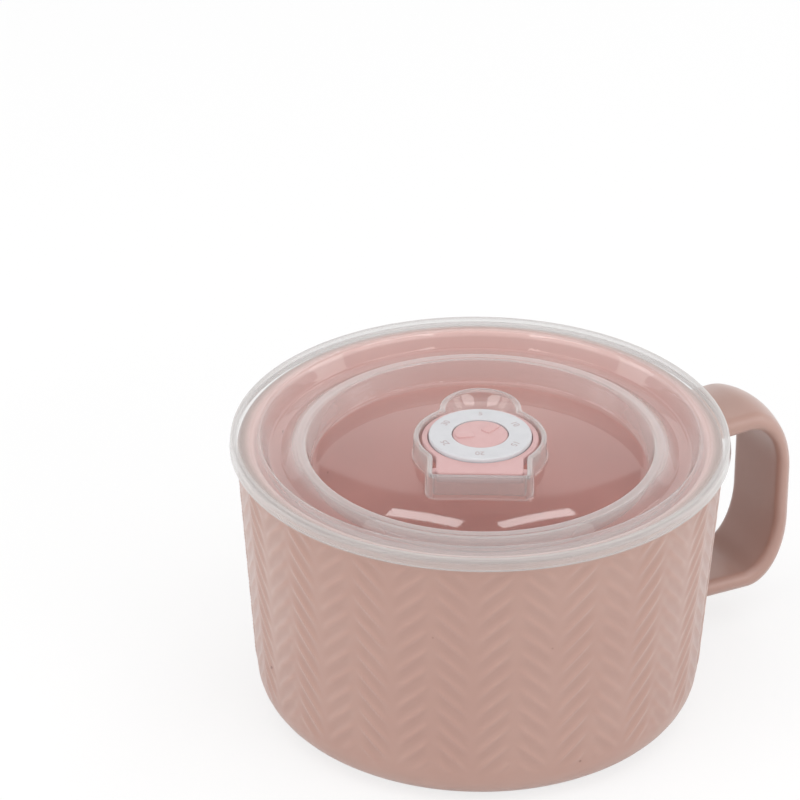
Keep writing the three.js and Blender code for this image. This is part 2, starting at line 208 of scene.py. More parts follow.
def bake(obj):
    """Turns what the modifiers show into a plain mesh and removes the modifiers."""
    graph = bpy.context.evaluated_depsgraph_get()
    mesh = bpy.data.meshes.new_from_object(obj.evaluated_get(graph))
    obj.modifiers.clear()
    obj.data = mesh
    return obj


def combine(obj, tool, operation):
    """Joins, cuts or intersects obj with tool, and deletes tool."""
    modifier = obj.modifiers.new(operation, "BOOLEAN")
    modifier.operation = operation
    modifier.solver = "EXACT"
    modifier.object = tool
    bake(obj)
    bpy.data.objects.remove(tool)
    return obj


print("helpers for pieces: merge, bake, combine")

# %% [markdown]
# ## Helper for node trees
# Finishes and patterns are node trees. A short wrapper keeps them readable: a value is either a
# number, which goes on the socket, or another node's output, which is linked to it. A finish starts
# from a Principled shader, a pattern from an empty Geometry Nodes tree with named inputs.

# %% Node wrapper
class Tree:
    def __init__(self, tree):
        self.tree = tree
        self.nodes = tree.nodes

    def add(self, kind, settings=None, **inputs):
        """A node with settings, and inputs by name with spaces as underscores."""
        node = self.nodes.new(kind)
        for key, value in (settings or {}).items():
            setattr(node, key, value)
        for key, value in inputs.items():
            self.feed(node.inputs[key.replace("_", " ")], value)
        return node

    def feed(self, socket, value):
        if isinstance(value, bpy.types.NodeSocket):
            self.tree.links.new(value, socket)
        else:
            socket.default_value = value

    def fill(self, sockets, values):
        for socket, value in zip(sockets, values):
            self.feed(socket, value)

    def math(self, operation, *values):
        node = self.add("ShaderNodeMath", {"operation": operation})
        self.fill(node.inputs, values)
        return node.outputs[0]

    def ramp(self, value, low, high, start=0.0, end=1.0, kind="SMOOTHSTEP"):
        """start below low, end above high, and a smooth or even change between them."""
        node = self.add("ShaderNodeMapRange", {"interpolation_type": kind}, Value=value,
                        From_Min=low, From_Max=high, To_Min=start, To_Max=end)
        return node.outputs[0]

    def mix_colours(self, *values):
        """A share, and the two colours that it blends."""
        node = self.add("ShaderNodeMix", {"data_type": "RGBA"})
        self.fill((node.inputs[0], node.inputs[6], node.inputs[7]), values)
        return node.outputs[2]

    def mix_shaders(self, *values):
        """A share, and the two shaders that it blends."""
        node = self.add("ShaderNodeMixShader")
        self.fill(node.inputs, values)
        return node.outputs[0]

    def attribute(self, name):
        return self.add("ShaderNodeAttribute", {"attribute_name": name}).outputs["Fac"]


print("helper for nodes: Tree")


# %% Starts of finishes and patterns
def srgb(red, green, blue):
    """A colour as seen on screen, 0 to 255, in the linear values that shaders use."""
    return tuple(
        v / 12.92 if v <= 0.04045 else ((v + 0.055) / 1.055) ** 2.4
        for v in (red / 255, green / 255, blue / 255)
    ) + (1.0,)


def material(name, colour, roughness, **sockets):
    """A material with a Principled shader and plain values on its sockets."""
    mat = bpy.data.materials.new(name)
    mat.use_nodes = True
    mat.diffuse_color = colour
    shader = mat.node_tree.nodes["Principled BSDF"]
    shader.inputs["Base Color"].default_value = colour
    shader.inputs["Roughness"].default_value = roughness
    for key, value in sockets.items():
        shader.inputs[key.replace("_", " ")].default_value = value
    return mat, Tree(mat.node_tree), shader


def geometry_tree(name, inputs):
    """An empty Geometry Nodes tree with named float inputs. Returns its wrapper, inputs and output."""
    tree = bpy.data.node_groups.new(name, "GeometryNodeTree")
    tree.interface.new_socket("Geometry", in_out="INPUT", socket_type="NodeSocketGeometry")
    for key in inputs:
        tree.interface.new_socket(key, in_out="INPUT", socket_type="NodeSocketFloat")
    tree.interface.new_socket("Geometry", in_out="OUTPUT", socket_type="NodeSocketGeometry")
    wrapper = Tree(tree)
    given = wrapper.add("NodeGroupInput")
    result = wrapper.add("NodeGroupOutput")
    return wrapper, given.outputs, result.inputs["Geometry"]


def grow(obj, tree, values):
    """Runs a Geometry Nodes tree on obj with these inputs, and keeps the result as a plain mesh."""
    modifier = obj.modifiers.new(tree.name, "NODES")
    modifier.node_group = tree
    for item in tree.interface.items_tree:
        if item.in_out == "INPUT" and item.name in values:
            modifier[item.identifier] = values[item.name]
    return bake(obj)


print("helpers for trees: srgb, material, geometry_tree, grow")

# %% [markdown]
# ## Camera
# The photo was taken from about a metre and a quarter away, 29 degrees above the table, with a long
# lens. The lid's hinge points at the camera, and the handle 32 degrees behind the mug's right side.
# The camera's angles were fitted to the mug's outline and the lid's ellipses.

# %% Camera at the photo's viewing angle
IMAGE = 800
CAMERA_TURN = math.radians(-32)
CAMERA_BACK = 0.9999
CAMERA_HEIGHT = 0.6450
PITCH = 0.505404
YAW = -0.022066
ROLL = -0.003922
FOCAL_PIXELS = 4180.26
SENSOR = 36.0

turn = Matrix.Rotation(CAMERA_TURN, 3, "Z")
level = math.cos(PITCH)
forward = turn @ Vector((math.sin(YAW) * level, math.cos(YAW) * level, -math.sin(PITCH)))
right = forward.cross(Vector((0, 0, 1))).normalized()
down = forward.cross(right)
right, down = (
    math.cos(ROLL) * right + math.sin(ROLL) * down,
    math.cos(ROLL) * down - math.sin(ROLL) * right,
)
lens = bpy.data.cameras.new("camera")
lens.sensor_width = SENSOR
lens.lens = FOCAL_PIXELS / IMAGE * SENSOR
lens.clip_end = 20
camera = bpy.data.objects.new("camera", lens)
camera.matrix_world = Matrix((right, -down, -forward)).transposed().to_4x4()
camera.location = turn @ Vector((0, -CAMERA_BACK, CAMERA_HEIGHT))
bpy.context.scene.collection.objects.link(camera)
bpy.context.scene.camera = camera
print("lens", round(lens.lens, 1), "mm at", [round(v, 3) for v in camera.location])

# %% [markdown]
# ## Paper floor
# The mug stands on white paper. Under plain light such paper looks grey in a picture, and more light
# would wash out the mug. So the paper is lifted to white for the eye and for mirror images only: it
# keeps the mug's shadow and throws no extra light on it.

# %% Paper floor
scene = bpy.context.scene
scene.view_settings.view_transform = "Standard"

FLOOR_RADIUS = 4.0
FLOOR_GAP = 0.0002
FLOOR_WHITE = 0.93
FLOOR_LIFT = 0.74
# mirror images see the paper lifted only away from the mug, whose shadow stays dark in them
FLOOR_NEAR, FLOOR_FAR = 0.09, 0.30

floor_mesh = bpy.data.meshes.new("floor")
disc = bmesh.new()
bmesh.ops.create_circle(disc, cap_ends=True, segments=96, radius=FLOOR_RADIUS)
disc.to_mesh(floor_mesh)
disc.free()
floor = bpy.data.objects.new("floor", floor_mesh)
floor.location.z = -FLOOR_GAP
scene.collection.objects.link(floor)

white = (FLOOR_WHITE, FLOOR_WHITE, FLOOR_WHITE, 1)
paper, sheet, paper_shader = material("white_paper", white, 0.9, Specular_IOR_Level=0.1)
ray = sheet.add("ShaderNodeLightPath").outputs
place = sheet.add("ShaderNodeTexCoord").outputs["Object"]
away = sheet.add("ShaderNodeVectorMath", {"operation": "LENGTH"}, Vector=place).outputs["Value"]
mirrored = sheet.math("MAXIMUM", ray["Is Glossy Ray"], ray["Is Transmission Ray"])
mirrored = sheet.math("MULTIPLY", mirrored, sheet.ramp(away, FLOOR_NEAR, FLOOR_FAR))
seen = sheet.math("MAXIMUM", ray["Is Camera Ray"], mirrored)
glow = sheet.add("ShaderNodeEmission", Strength=1.0).outputs[0]
lifted = sheet.mix_shaders(sheet.math("MULTIPLY", seen, FLOOR_LIFT), paper_shader.outputs[0], glow)
sheet.feed(sheet.nodes["Material Output"].inputs["Surface"], lifted)
floor_mesh.materials.append(paper)
print("floor of", FLOOR_RADIUS, "m, finish", paper.name)

# %% [markdown]
# ## Tent
# Around the mug is a white tent that is open at the top, as photographers use for shiny things. The
# lid mirrors the tent's side over most of its dome, and the dark opening gives the dome its dark front
# edge. No mesh is needed for it: a world that is bright below an edge and dark above it does the same.

# %% Tent
TENT_TOP = math.radians(38)
TENT_EDGE = math.radians(2)
# the tent's edge sinks away from the middle by a power of the azimuth
TENT_DROOP, TENT_CURVE = 94.0, 4.0
TENT_DROOP_MOST = math.radians(10)
TENT_LIGHT = 1.2
OPENING_LIGHT = 0.25

world = bpy.data.worlds.new("tent")
world.use_nodes = True
scene.world = world
sky = Tree(world.node_tree)
background = world.node_tree.nodes["Background"]
direction = sky.add("ShaderNodeTexCoord").outputs["Generated"]


def along(axis):
    """How far a direction of the sky points along an axis, which is as seen from the camera."""
    node = sky.add("ShaderNodeVectorMath", {"operation": "DOT_PRODUCT"}, Vector=direction)
    node.inputs[1].default_value = turn @ Vector(axis)
    return node.outputs["Value"]


azimuth = sky.math("ABSOLUTE", sky.math("ARCTAN2", along((1, 0, 0)), along((0, 1, 0))))
droop = sky.math("MULTIPLY", sky.math("POWER", azimuth, TENT_CURVE), TENT_DROOP)
droop = sky.math("MINIMUM", droop, TENT_DROOP_MOST)
above = sky.math("ADD", sky.math("ARCSINE", along((0, 0, 1))), droop)
edge = TENT_EDGE / 2
tent = sky.ramp(above, TENT_TOP - edge, TENT_TOP + edge, TENT_LIGHT, OPENING_LIGHT)
path = sky.add("ShaderNodeLightPath").outputs
sky.feed(background.inputs["Strength"], sky.ramp(path["Is Camera Ray"], 0, 1, tent, 1.0, "LINEAR"))
background.inputs["Color"].default_value = (1, 1, 1, 1)
print("tent up to", round(math.degrees(TENT_TOP)), "degrees")

# %% [markdown]
# ## Lamps
# A large soft lamp overhead is the main light. Two strip lamps behind the tent give the two bright
# bars on the front of the dome. Two soft boxes beside the camera fill the front, two smaller ones the
# sides, and one lights the handle from behind. All are area lamps, because soft light needs size.

# %% Lamps
def lamp(name, azimuth, elevation, distance, size, radiance, roll=0, about=(0, 0, 0)):
    """A soft lamp that faces a point of the mug. Azimuth 0 is straight behind, seen from the camera."""
    light = bpy.data.lights.new(name, "AREA")
    light.shape = "RECTANGLE"
    light.size, light.size_y = size
    light.energy = radiance * math.pi * size[0] * size[1]
    obj = bpy.data.objects.new(name, light)
    azimuth, elevation = math.radians(azimuth), math.radians(elevation)
    level = math.cos(elevation)
    place = turn @ Vector((math.sin(azimuth) * level, math.cos(azimuth) * level, math.sin(elevation)))
    obj.location = turn @ Vector(about) + place * distance
    tilt = Matrix.Rotation(math.radians(roll), 3, "Z")
    obj.rotation_euler = (place.to_track_quat("Z", "Y").to_matrix() @ tilt).to_euler()
    scene.collection.objects.link(obj)


DOME_FRONT = (0, -0.036, 0.073)
SCOOP = (0, 0.022, 0.079)
lamp("overhead", 180, 78, 2.4, (3.6, 2.0), 1.5)
lamp("strip_left", -5.9, 41.8, 1.5, (0.172, 0.036), 6.2, -32, DOME_FRONT)
lamp("strip_right", 6.2, 41.5, 1.5, (0.184, 0.032), 6.2, 38, DOME_FRONT)
lamp("box_left", -134, 26, 1.2, (0.83, 0.18), 5.0, 0, SCOOP)
lamp("box_right", 134, 26, 1.2, (0.83, 0.18), 5.0, 0, SCOOP)
lamp("side_left", -92, 20, 1.3, (0.5, 0.5), 2.2)
lamp("side_right", 92, 20, 1.3, (0.5, 0.5), 2.2)
lamp("back_right", 35, 50, 1.5, (0.6, 0.5), 2.2)
print("lamps", [light.name for light in bpy.data.lights])

# %% [markdown]
# ## Finishes
# A glaze is never one flat colour: it pools and thins, and iron specks come through it. Plastic has a
# faint moulded texture. One shader group, the mottle, makes both, and each finish places it with its
# own values.

# %% Shared shader group
def shader_group(name, inputs, outputs):
    """An empty shader group. Returns its wrapper, inputs and outputs."""
    tree = bpy.data.node_groups.new(name, "ShaderNodeTree")
    for key, kind in inputs:
        tree.interface.new_socket(key, in_out="INPUT", socket_type=kind)
    for key, kind in outputs:
        tree.interface.new_socket(key, in_out="OUTPUT", socket_type=kind)
    wrapper = Tree(tree)
    return wrapper, wrapper.add("NodeGroupInput").outputs, wrapper.add("NodeGroupOutput").inputs


COLOUR, NUMBER = "NodeSocketColor", "NodeSocketFloat"
FINE_GRAIN = 14.0
PATCH_EDGE, SPECK_EDGE = (0.36, 0.66), (0.10, 0.24)


def mottle_group():
    """Two close tones that drift into each other, small dark specks, and a height for fine bumps."""
    t, given, result = shader_group(
        "mottle",
        [("Tone", COLOUR), ("Other Tone", COLOUR), ("Speck", COLOUR),
         ("Patch Size", NUMBER), ("Speck Size", NUMBER), ("Speck Share", NUMBER)],
        [("Colour", COLOUR), ("Height", NUMBER), ("Patch", NUMBER)],
    )
    where = t.add("ShaderNodeTexCoord").outputs["Object"]
    patch_scale = t.math("DIVIDE", 1.0, given["Patch Size"])
    cloud = t.add("ShaderNodeTexNoise", Vector=where, Scale=patch_scale, Detail=4.0, Roughness=0.6)
    patch = t.ramp(cloud.outputs["Fac"], *PATCH_EDGE)
    speck_scale = t.math("DIVIDE", 1.0, given["Speck Size"])
    cells = t.add("ShaderNodeTexVoronoi", Vector=where, Scale=speck_scale, Randomness=1.0)
    chosen = t.add("ShaderNodeSeparateColor", Color=cells.outputs["Color"]).outputs[0]
    chosen = t.math("LESS_THAN", chosen, given["Speck Share"])
    dot = t.math("MULTIPLY", t.ramp(cells.outputs["Distance"], *SPECK_EDGE, 1.0, 0.0), chosen)
    tone = t.mix_colours(patch, given["Tone"], given["Other Tone"])
    fine_scale = t.math("MULTIPLY", patch_scale, FINE_GRAIN)
    fine = t.add("ShaderNodeTexNoise", Vector=where, Scale=fine_scale, Detail=3.0)
    t.feed(result["Colour"], t.mix_colours(dot, tone, given["Speck"]))
    t.feed(result["Height"], fine.outputs["Fac"])
    t.feed(result["Patch"], patch)
    return t.tree


mottle = mottle_group()


def mottle_node(t, tones, grain):
    """The group with two tones and a speck, and with patch size, speck size and share of specks."""
    tone, other, speck = [srgb(*tone) for tone in tones]
    patch_size, speck_size, share = grain
    return t.add("ShaderNodeGroup", {"node_tree": mottle}, Tone=tone, Other_Tone=other, Speck=speck,
                 Patch_Size=patch_size, Speck_Size=speck_size, Speck_Share=share).outputs


def bump(t, shader, height, strength, distance):
    node = t.add("ShaderNodeBump", Strength=strength, Distance=distance, Height=height)
    t.feed(shader.inputs["Normal"], node.outputs["Normal"])


print("shader group", mottle.name, "of", len(mottle.nodes), "nodes")

# %% [markdown]
# ### Glazed stoneware, bare clay and plastics
# The mug has a satin dusty-rose glaze outside and a glossier one inside, made lighter there as painted
# light
# for the dim inside. Outside, the bars are a little lighter and the ground between them a little darker:
# glaze that thins on the bars and pools beside them, with painted light and shade for the relief's
# shading.
# The foot ring is wiped clean before firing, so the clay shows there. Flap and pointer are satin rose
# plastic, the date ring is white, and the plug is soft silicone.

# %% Opaque finishes
# the part of a bar's height by which the ground between bars lies under the plain wall
BAR_REST = 0.35
# below 1 is painted shade in the ground between bars, above 1 painted light on the bars, besides glaze
# that pools and thins
POOLED_AND_SHADED, THINNED_AND_LIT = 0.955, 1.07
SATIN, SATIN_CHANGE, GLOSS = 0.50, 0.06, 0.16
GLAZE_BUMP, GLAZE_GRAIN, MOTTLE_BUMP = 0.3, 0.00004, 0.35


def glaze_with_painted_light(name, outside, inside, speck, grain):
    """A satin glaze with painted light on the bars and painted shade between them, besides glaze that
    thins there, and a glossier one, lighter by painted light, where inner is 1.
    """
    mat, t, shader = material(name, srgb(*outside[0]), SATIN, Coat_Weight=0.9, Coat_Roughness=0.38,
                              Sheen_Weight=0.25, Sheen_Roughness=0.35)
    far, near = [mottle_node(t, (*tones, speck), grain) for tones in (outside, inside)]
    inner = t.attribute("inner")
    # the inside tone is lighter: painted light for the dim inside of the mug
    colour = t.mix_colours(inner, far["Colour"], near["Colour"])
    # painted light on the bars and painted shade between them, by how raised the wall is
    pooling_and_painted_shade = t.ramp(t.attribute("raised"), -BAR_REST, 1 - BAR_REST, POOLED_AND_SHADED, THINNED_AND_LIT, "LINEAR")
    toned = t.add("ShaderNodeHueSaturation", Value=pooling_and_painted_shade, Color=colour)
    t.feed(shader.inputs["Base Color"], toned.outputs[0])
    satin = t.ramp(far["Patch"], 0, 1, SATIN, SATIN + SATIN_CHANGE, "LINEAR")
    t.feed(shader.inputs["Roughness"], t.ramp(inner, 0, 1, satin, GLOSS, "LINEAR"))
    bump(t, shader, far["Height"], GLAZE_BUMP, GLAZE_GRAIN)
    return mat


def mottled(name, tones, grain, roughness, rough_change, bump_depth):
    """An opaque finish of one mottle."""
    mat, t, shader = material(name, srgb(*tones[0]), roughness)
    made = mottle_node(t, tones, grain)
    rough = t.ramp(made["Patch"], 0, 1, roughness, roughness + rough_change, "LINEAR")
    t.feed(shader.inputs["Base Color"], made["Colour"])
    t.feed(shader.inputs["Roughness"], rough)
    bump(t, shader, made["Height"], MOTTLE_BUMP, bump_depth)
    return mat


MOULDED = (0.004, 0.002, 0.0)
# the second pair of tones is for the inside, lighter as painted light for the dim inside
glaze = glaze_with_painted_light(
    "rose_glaze", ((167, 131, 119), (165, 128, 116)), ((226, 177, 169), (224, 174, 166)),
    (118, 78, 70), (0.030, 0.0026, 0.006))
clay = mottled("bare_clay", ((214, 200, 184), (202, 186, 168), (150, 128, 110)),
               (0.006, 0.0016, 0.10), 0.85, 0.08, 0.00012)
rose_plastic = mottled("rose_plastic", ((206, 167, 166), (204, 164, 163), (206, 167, 166)),
                       MOULDED, 0.36, 0.06, 0.00002)
white_plastic = mottled("white_plastic", ((203, 203, 206), (200, 200, 203), (202, 202, 205)),
                        MOULDED, 0.42, 0.06, 0.00002)
silicone = mottled("plug_silicone", ((232, 214, 210), (226, 208, 203), (232, 214, 210)),
                   (0.003, 0.002, 0.0), 0.5, 0.08, 0.00003)
print_ink = mottled("print_ink", ((184, 168, 170), (168, 150, 152), (140, 118, 120)),
                    (0.0012, 0.0006, 0.2), 0.6, 0.1, 0.00001)
finishes = glaze, clay, rose_plastic, white_plastic, silicone, print_ink
print("opaque finishes", [finish.name for finish in finishes])

# %% [markdown]
# ### Natural polypropylene
# The lid is one moulding of natural polypropylene. Its polished panel is nearly clear, so it shows the
# inside of the mug. The thicker rim, ring and vent housing scatter light and look milky. How milky
# each place is goes on the mesh as an attribute. The walls are thin, so light passes them almost
# straight: a transparent shader shows what is behind, and a pale one adds the milk, more of it where
# the light's way through the wall is slanted and long. A glossy one gives the mirror image on the
# outer side. Light from lamps and from the glaze passes straight through, dimmed in the milkiest places.

# %% Lid finish
STEEPEST = 0.2
MILK_STOP, MILK_ROUGHNESS = 0.5, 0.35
RIPPLE_SCALE, RIPPLE_BUMP, RIPPLE_DEPTH = 45.0, 0.03, 0.0001
CLEAR, SMOKY, SMOKY_FROM = 0.985, 0.5, 0.5
LIT, SHADED, SHADED_FROM = 0.95, 0.1, 0.4


def polypropylene(name, milk_colour, roughness):
    """A thin clear wall with as much milk in it as the mesh says."""
    mat, t, shader = material(name, milk_colour, MILK_ROUGHNESS)
    milk = t.attribute("milk")
    upright = t.math("SUBTRACT", 1.0, t.add("ShaderNodeLayerWeight", Blend=0.5).outputs["Facing"])
    way = t.math("DIVIDE", 1.0, t.math("MAXIMUM", upright, STEEPEST))
    clearness = t.math("POWER", t.math("MULTIPLY_ADD", milk, -MILK_STOP, 1.0), way)
    where = t.add("ShaderNodeTexCoord").outputs["Object"]
    ripple = t.add("ShaderNodeTexNoise", Vector=where, Scale=RIPPLE_SCALE, Detail=2.0).outputs["Fac"]
    wave = t.add("ShaderNodeBump", Strength=RIPPLE_BUMP, Distance=RIPPLE_DEPTH, Height=ripple)
    wavy = wave.outputs["Normal"]
    tint = t.ramp(milk, SMOKY_FROM, 1, CLEAR, SMOKY, "LINEAR")
    clear = t.add("ShaderNodeBsdfTransparent", Color=tint).outputs[0]
    veil = t.mix_shaders(clearness, shader.outputs[0], clear)
    mirror = t.add("ShaderNodeBsdfGlossy", Roughness=roughness, Normal=wavy).outputs[0]
    fresnel = t.add("ShaderNodeFresnel", IOR=1.5, Normal=wavy).outputs[0]
    outer_side = t.math("SUBTRACT", 1.0, t.add("ShaderNodeNewGeometry").outputs["Backfacing"])
    shine = t.mix_shaders(t.math("MULTIPLY", fresnel, outer_side), veil, mirror)
    ray = t.add("ShaderNodeLightPath").outputs
    through = t.math("MAXIMUM", ray["Is Shadow Ray"], ray["Is Diffuse Ray"])
    dimmed = t.ramp(milk, SHADED_FROM, 1, LIT, SHADED, "LINEAR")
    passing = t.add("ShaderNodeBsdfTransparent", Color=dimmed).outputs[0]
    t.feed(t.nodes["Material Output"].inputs["Surface"], t.mix_shaders(through, shine, passing))
    return mat


natural_plastic = polypropylene("natural_polypropylene", srgb(208, 203, 201), 0.03)
print("lid finish", natural_plastic.name)

# %% [markdown]
# ## Mug body
# The mug is slip-cast: a tapered wall, a wide round base, a recessed foot ring and a rounded lip. All of
# that is round, so a profile that is turned about the axis gives it. The rows of the wall are close,
# because the relief that comes next has to bend them.

# %% Turned mug
MUG_HEIGHT = 80.4
RIM_RADIUS = 66.9
BASE_RADIUS = 61.3
BASE_FILLET = 11.0
MUG_WALL = 4.8
LIP_ROUND = 2.2
FLOOR = 7.0
FLOOR_FILLET = 12.0
FOOT_WIDTH = 4.0
FOOT_RECESS = 2.0
FOOT_ROUND = 0.8
TAPER = (RIM_RADIUS - BASE_RADIUS) / MUG_HEIGHT

COLUMN_PAIRS = 18
SIDES_PER_PAIR = 28
WALL_ROW = 0.62


def wall_radius(z):
    return BASE_RADIUS + TAPER * z


def wall_rows(a, b):
    """Many rows along the outer wall, one elsewhere."""
    rise = abs(b[1] - a[1])
    outer = min(a[0], b[0]) > wall_radius(BASE_FILLET) - MUG_WALL / 2
    tall = rise > (MUG_HEIGHT - LIP_ROUND - BASE_FILLET) / 2
    return round(rise / WALL_ROW) if outer and tall else 1


foot_inner = BASE_RADIUS - BASE_FILLET - FOOT_WIDTH
profile = rounded([
    (0, FOOT_RECESS),
    (foot_inner, FOOT_RECESS, FOOT_ROUND),
    (foot_inner, 0, FOOT_ROUND),
    (BASE_RADIUS, 0, BASE_FILLET),
    (RIM_RADIUS, MUG_HEIGHT, LIP_ROUND),
    (RIM_RADIUS - MUG_WALL, MUG_HEIGHT, LIP_ROUND),
    (wall_radius(FLOOR) - MUG_WALL, FLOOR, FLOOR_FILLET),
    (0, FLOOR),
])
sides = COLUMN_PAIRS * SIDES_PER_PAIR
mug_body = turned("mug_body_visual", split(profile, wall_rows), sides, sharp=60)
print("turned mug", len(mug_body.data.polygons), "faces")

# %% [markdown]
# ### Herringbone
# The wall carries a herringbone in low relief, which the plaster mould leaves on the clay. A bump in
# the material would vanish at the outline, so the relief is real geometry: Geometry Nodes push the wall
# in and out. The rule is short: slanted bars at an even pitch, mirrored from column to column, that
# fade near each column's edge.

# %% Herringbone relief
BAR_PITCH = 6.12
BAR_RISE = 10.8
BAR_DEPTH = 0.6
BAR_SHARPNESS = 2.3
BAR_SHIFT = 1.07
BAR_LOW, BAR_HIGH = 8.0, 77.5
LOW_FADE, HIGH_FADE = 7.0, 2.0
FADE_IN, FADE_OUT = (0.02, 0.34), (0.74, 0.98)
VALLEY_AZIMUTH = math.radians(-122.8)


def herringbone():
    """Pushes the outer wall in and out along the radius."""
    t, given, result = geometry_tree("herringbone", [
        "Column Pairs", "Valley Azimuth", "Pitch", "Rise", "Depth", "Sharpness", "Shift", "Low", "High",
        "Base", "Taper", "Wall",
    ])
    place = t.add("GeometryNodeInputPosition").outputs[0]
    x, y, z = t.add("ShaderNodeSeparateXYZ", Vector=place).outputs
    radius = t.math("SQRT", t.math("ADD", t.math("MULTIPLY", x, x), t.math("MULTIPLY", y, y)))
    azimuth = t.math("SUBTRACT", t.math("ARCTAN2", y, x), given["Valley Azimuth"])
    columns = t.math("MULTIPLY", azimuth, t.math("DIVIDE", given["Column Pairs"], math.pi))
    across = t.math("PINGPONG", columns, 1.0)
    slant = t.math("MULTIPLY", across, given["Rise"])
    level = t.math("SUBTRACT", t.math("ADD", z, given["Shift"]), slant)
    wave = t.math("COSINE", t.math("MULTIPLY", t.math("DIVIDE", level, given["Pitch"]), 2 * math.pi))
    bars = t.math("POWER", t.math("MULTIPLY_ADD", wave, 0.5, 0.5), given["Sharpness"])
    bars = t.math("SUBTRACT", bars, BAR_REST)
    inner_end = t.ramp(across, *FADE_IN)
    outer_end = t.ramp(across, *FADE_OUT, 1.0, 0.0)
    column = t.math("MULTIPLY", inner_end, outer_end)
    low_end = t.ramp(z, given["Low"], t.math("ADD", given["Low"], LOW_FADE * MM))
    high_end = t.ramp(z, t.math("SUBTRACT", given["High"], HIGH_FADE * MM), given["High"], 1.0, 0.0)
    nominal = t.math("ADD", given["Base"], t.math("MULTIPLY", z, given["Taper"]))
    middle = t.math("SUBTRACT", nominal, t.math("MULTIPLY", given["Wall"], 0.5))
    outside = t.math("GREATER_THAN", radius, middle)
    push = t.math("MULTIPLY", bars, given["Depth"])
    for share in (column, low_end, high_end, outside):
        push = t.math("MULTIPLY", push, share)
    flat = t.add("ShaderNodeCombineXYZ", X=x, Y=y, Z=0.0).outputs[0]
    outward = t.add("ShaderNodeVectorMath", {"operation": "NORMALIZE"}, Vector=flat).outputs[0]
    offset = t.add("ShaderNodeVectorMath", {"operation": "SCALE"}, Vector=outward, Scale=push).outputs[0]
    moved = t.add("GeometryNodeSetPosition", Geometry=given["Geometry"], Offset=offset)
    real = t.add("GeometryNodeRealizeInstances", Geometry=moved.outputs[0]).outputs[0]
    t.feed(result, t.add("GeometryNodeSetMaterial", Geometry=real, Material=glaze).outputs[0])
    return t.tree


grow(mug_body, herringbone(), {
    "Column Pairs": COLUMN_PAIRS, "Valley Azimuth": VALLEY_AZIMUTH, "Pitch": BAR_PITCH * MM,
    "Rise": BAR_RISE * MM, "Depth": BAR_DEPTH * MM, "Sharpness": BAR_SHARPNESS, "Shift": BAR_SHIFT * MM,
    "Low": BAR_LOW * MM, "High": BAR_HIGH * MM, "Base": BASE_RADIUS * MM, "Taper": TAPER,
    "Wall": MUG_WALL * MM,
})
print("relief of", BAR_DEPTH, "mm in", 2 * COLUMN_PAIRS, "columns")

# %% [markdown]
# ### Where the glazes go
# The foot ring is bare clay. The glaze that starts on the lip and covers the inside is lighter, as
# painted light for the dim inside. Outside, the glaze is thinner on the bars, and the bars carry painted
# light and the ground between them painted shade. The glaze finish reads the last two from attributes of
# the mesh, because they follow the shape and can then fade softly.

# %% Glaze and clay on the mug
CLAY_LEVEL, CLAY_MARGIN = 0.35, 1.5
INNER_START, INNER_BLEND, FLOOR_MARGIN = 2.0, 2.2, 1.0

mug_body.data.materials.clear()
for finish in (glaze, clay):
    mug_body.data.materials.append(finish)
for face in mug_body.data.polygons:
    ring, level = math.hypot(face.center.x, face.center.y) / MM, face.center.z / MM
    bare = level < CLAY_LEVEL and ring < BASE_RADIUS - BASE_FILLET + CLAY_MARGIN
    face.material_index = int(bare)
place = np.array([v.co for v in mug_body.data.vertices]) / MM
ring, level = np.hypot(place[:, 0], place[:, 1]), place[:, 2]
# share of the inside glaze, which is lighter by painted light
inside = np.clip((wall_radius(level) - INNER_START - ring) / INNER_BLEND, 0, 1)
inside = inside * (level > FLOOR - FLOOR_MARGIN)
on_wall = (level > BASE_FILLET) * (level < MUG_HEIGHT - LIP_ROUND)
on_wall = on_wall * (ring > wall_radius(level) - MUG_WALL / 2)
# how raised the wall is, which sets the glaze's painted light on the bars and painted shade between them
raised = on_wall * (ring - wall_radius(level)) / BAR_DEPTH
for name, values in (("inner", inside), ("raised", raised)):
    mug_body.data.attributes.new(name, "FLOAT", "POINT").data.foreach_set("value", values)
smooth(mug_body, sharp=60)
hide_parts("mug_body")
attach(mug_body, "mug")
print("mug body: inner from", inside.min(), "to", inside.max(), "raised to", round(raised.max(), 2))

# %% [markdown]
# ## Handle
# The handle is a strap with a crowned outer face, pressed in its own mould. A curve with a bevel would
# give it one thickness, but it swells towards the middle of its face and its two side lines bend
# differently. Both are straight runs with elliptical corners, so a loft between them is used.

# %% Strap lines and section
HANDLE_REACH = 98.0
HANDLE_TOP = 68.4
HANDLE_BOTTOM = 10.7
HANDLE_WIDTH = 23.6
HANDLE_EDGE = 4.9
HANDLE_SIDE = 4.0
HANDLE_CROWN = 2.6
HANDLE_ROUND = 2.3
HANDLE_RISE = 0.085
OUTER_TOP, OUTER_BOTTOM = (15.0, 22.0), (13.0, 21.0)
INNER_TOP, INNER_BOTTOM = (10.5, 14.5), (11.0, 18.5)
BEND_STEPS, SECTION_STEPS = 22, 18
JOINT_FILLET = 2.2


def strap_line(inset, side_inset, top_corner, bottom_corner):
    """One side line of the strap as (radius, height), from the upper end to the lower one."""
    reach, top, bottom = HANDLE_REACH - side_inset, HANDLE_TOP - inset, HANDLE_BOTTOM + inset
    root = RIM_RADIUS + JOINT_FILLET
    points = [(root, top)]
    bends = (top_corner, top - top_corner[1], 90), (bottom_corner, bottom + bottom_corner[1], 0)
    for (a, b), level, first in bends:
        for k in range(BEND_STEPS + 1):
            angle = math.radians(first - 90 * k / BEND_STEPS)
            points.append((reach - a + a * math.cos(angle), level + b * math.sin(angle)))
    points.append((root, bottom))
    middle = (top + bottom) / 2
    line = np.array(points)
    lower = np.clip((middle - line[:, 1]) / (middle - bottom), 0, 1)
    line[:, 1] += HANDLE_RISE * (reach - line[:, 0]) * lower
    return line


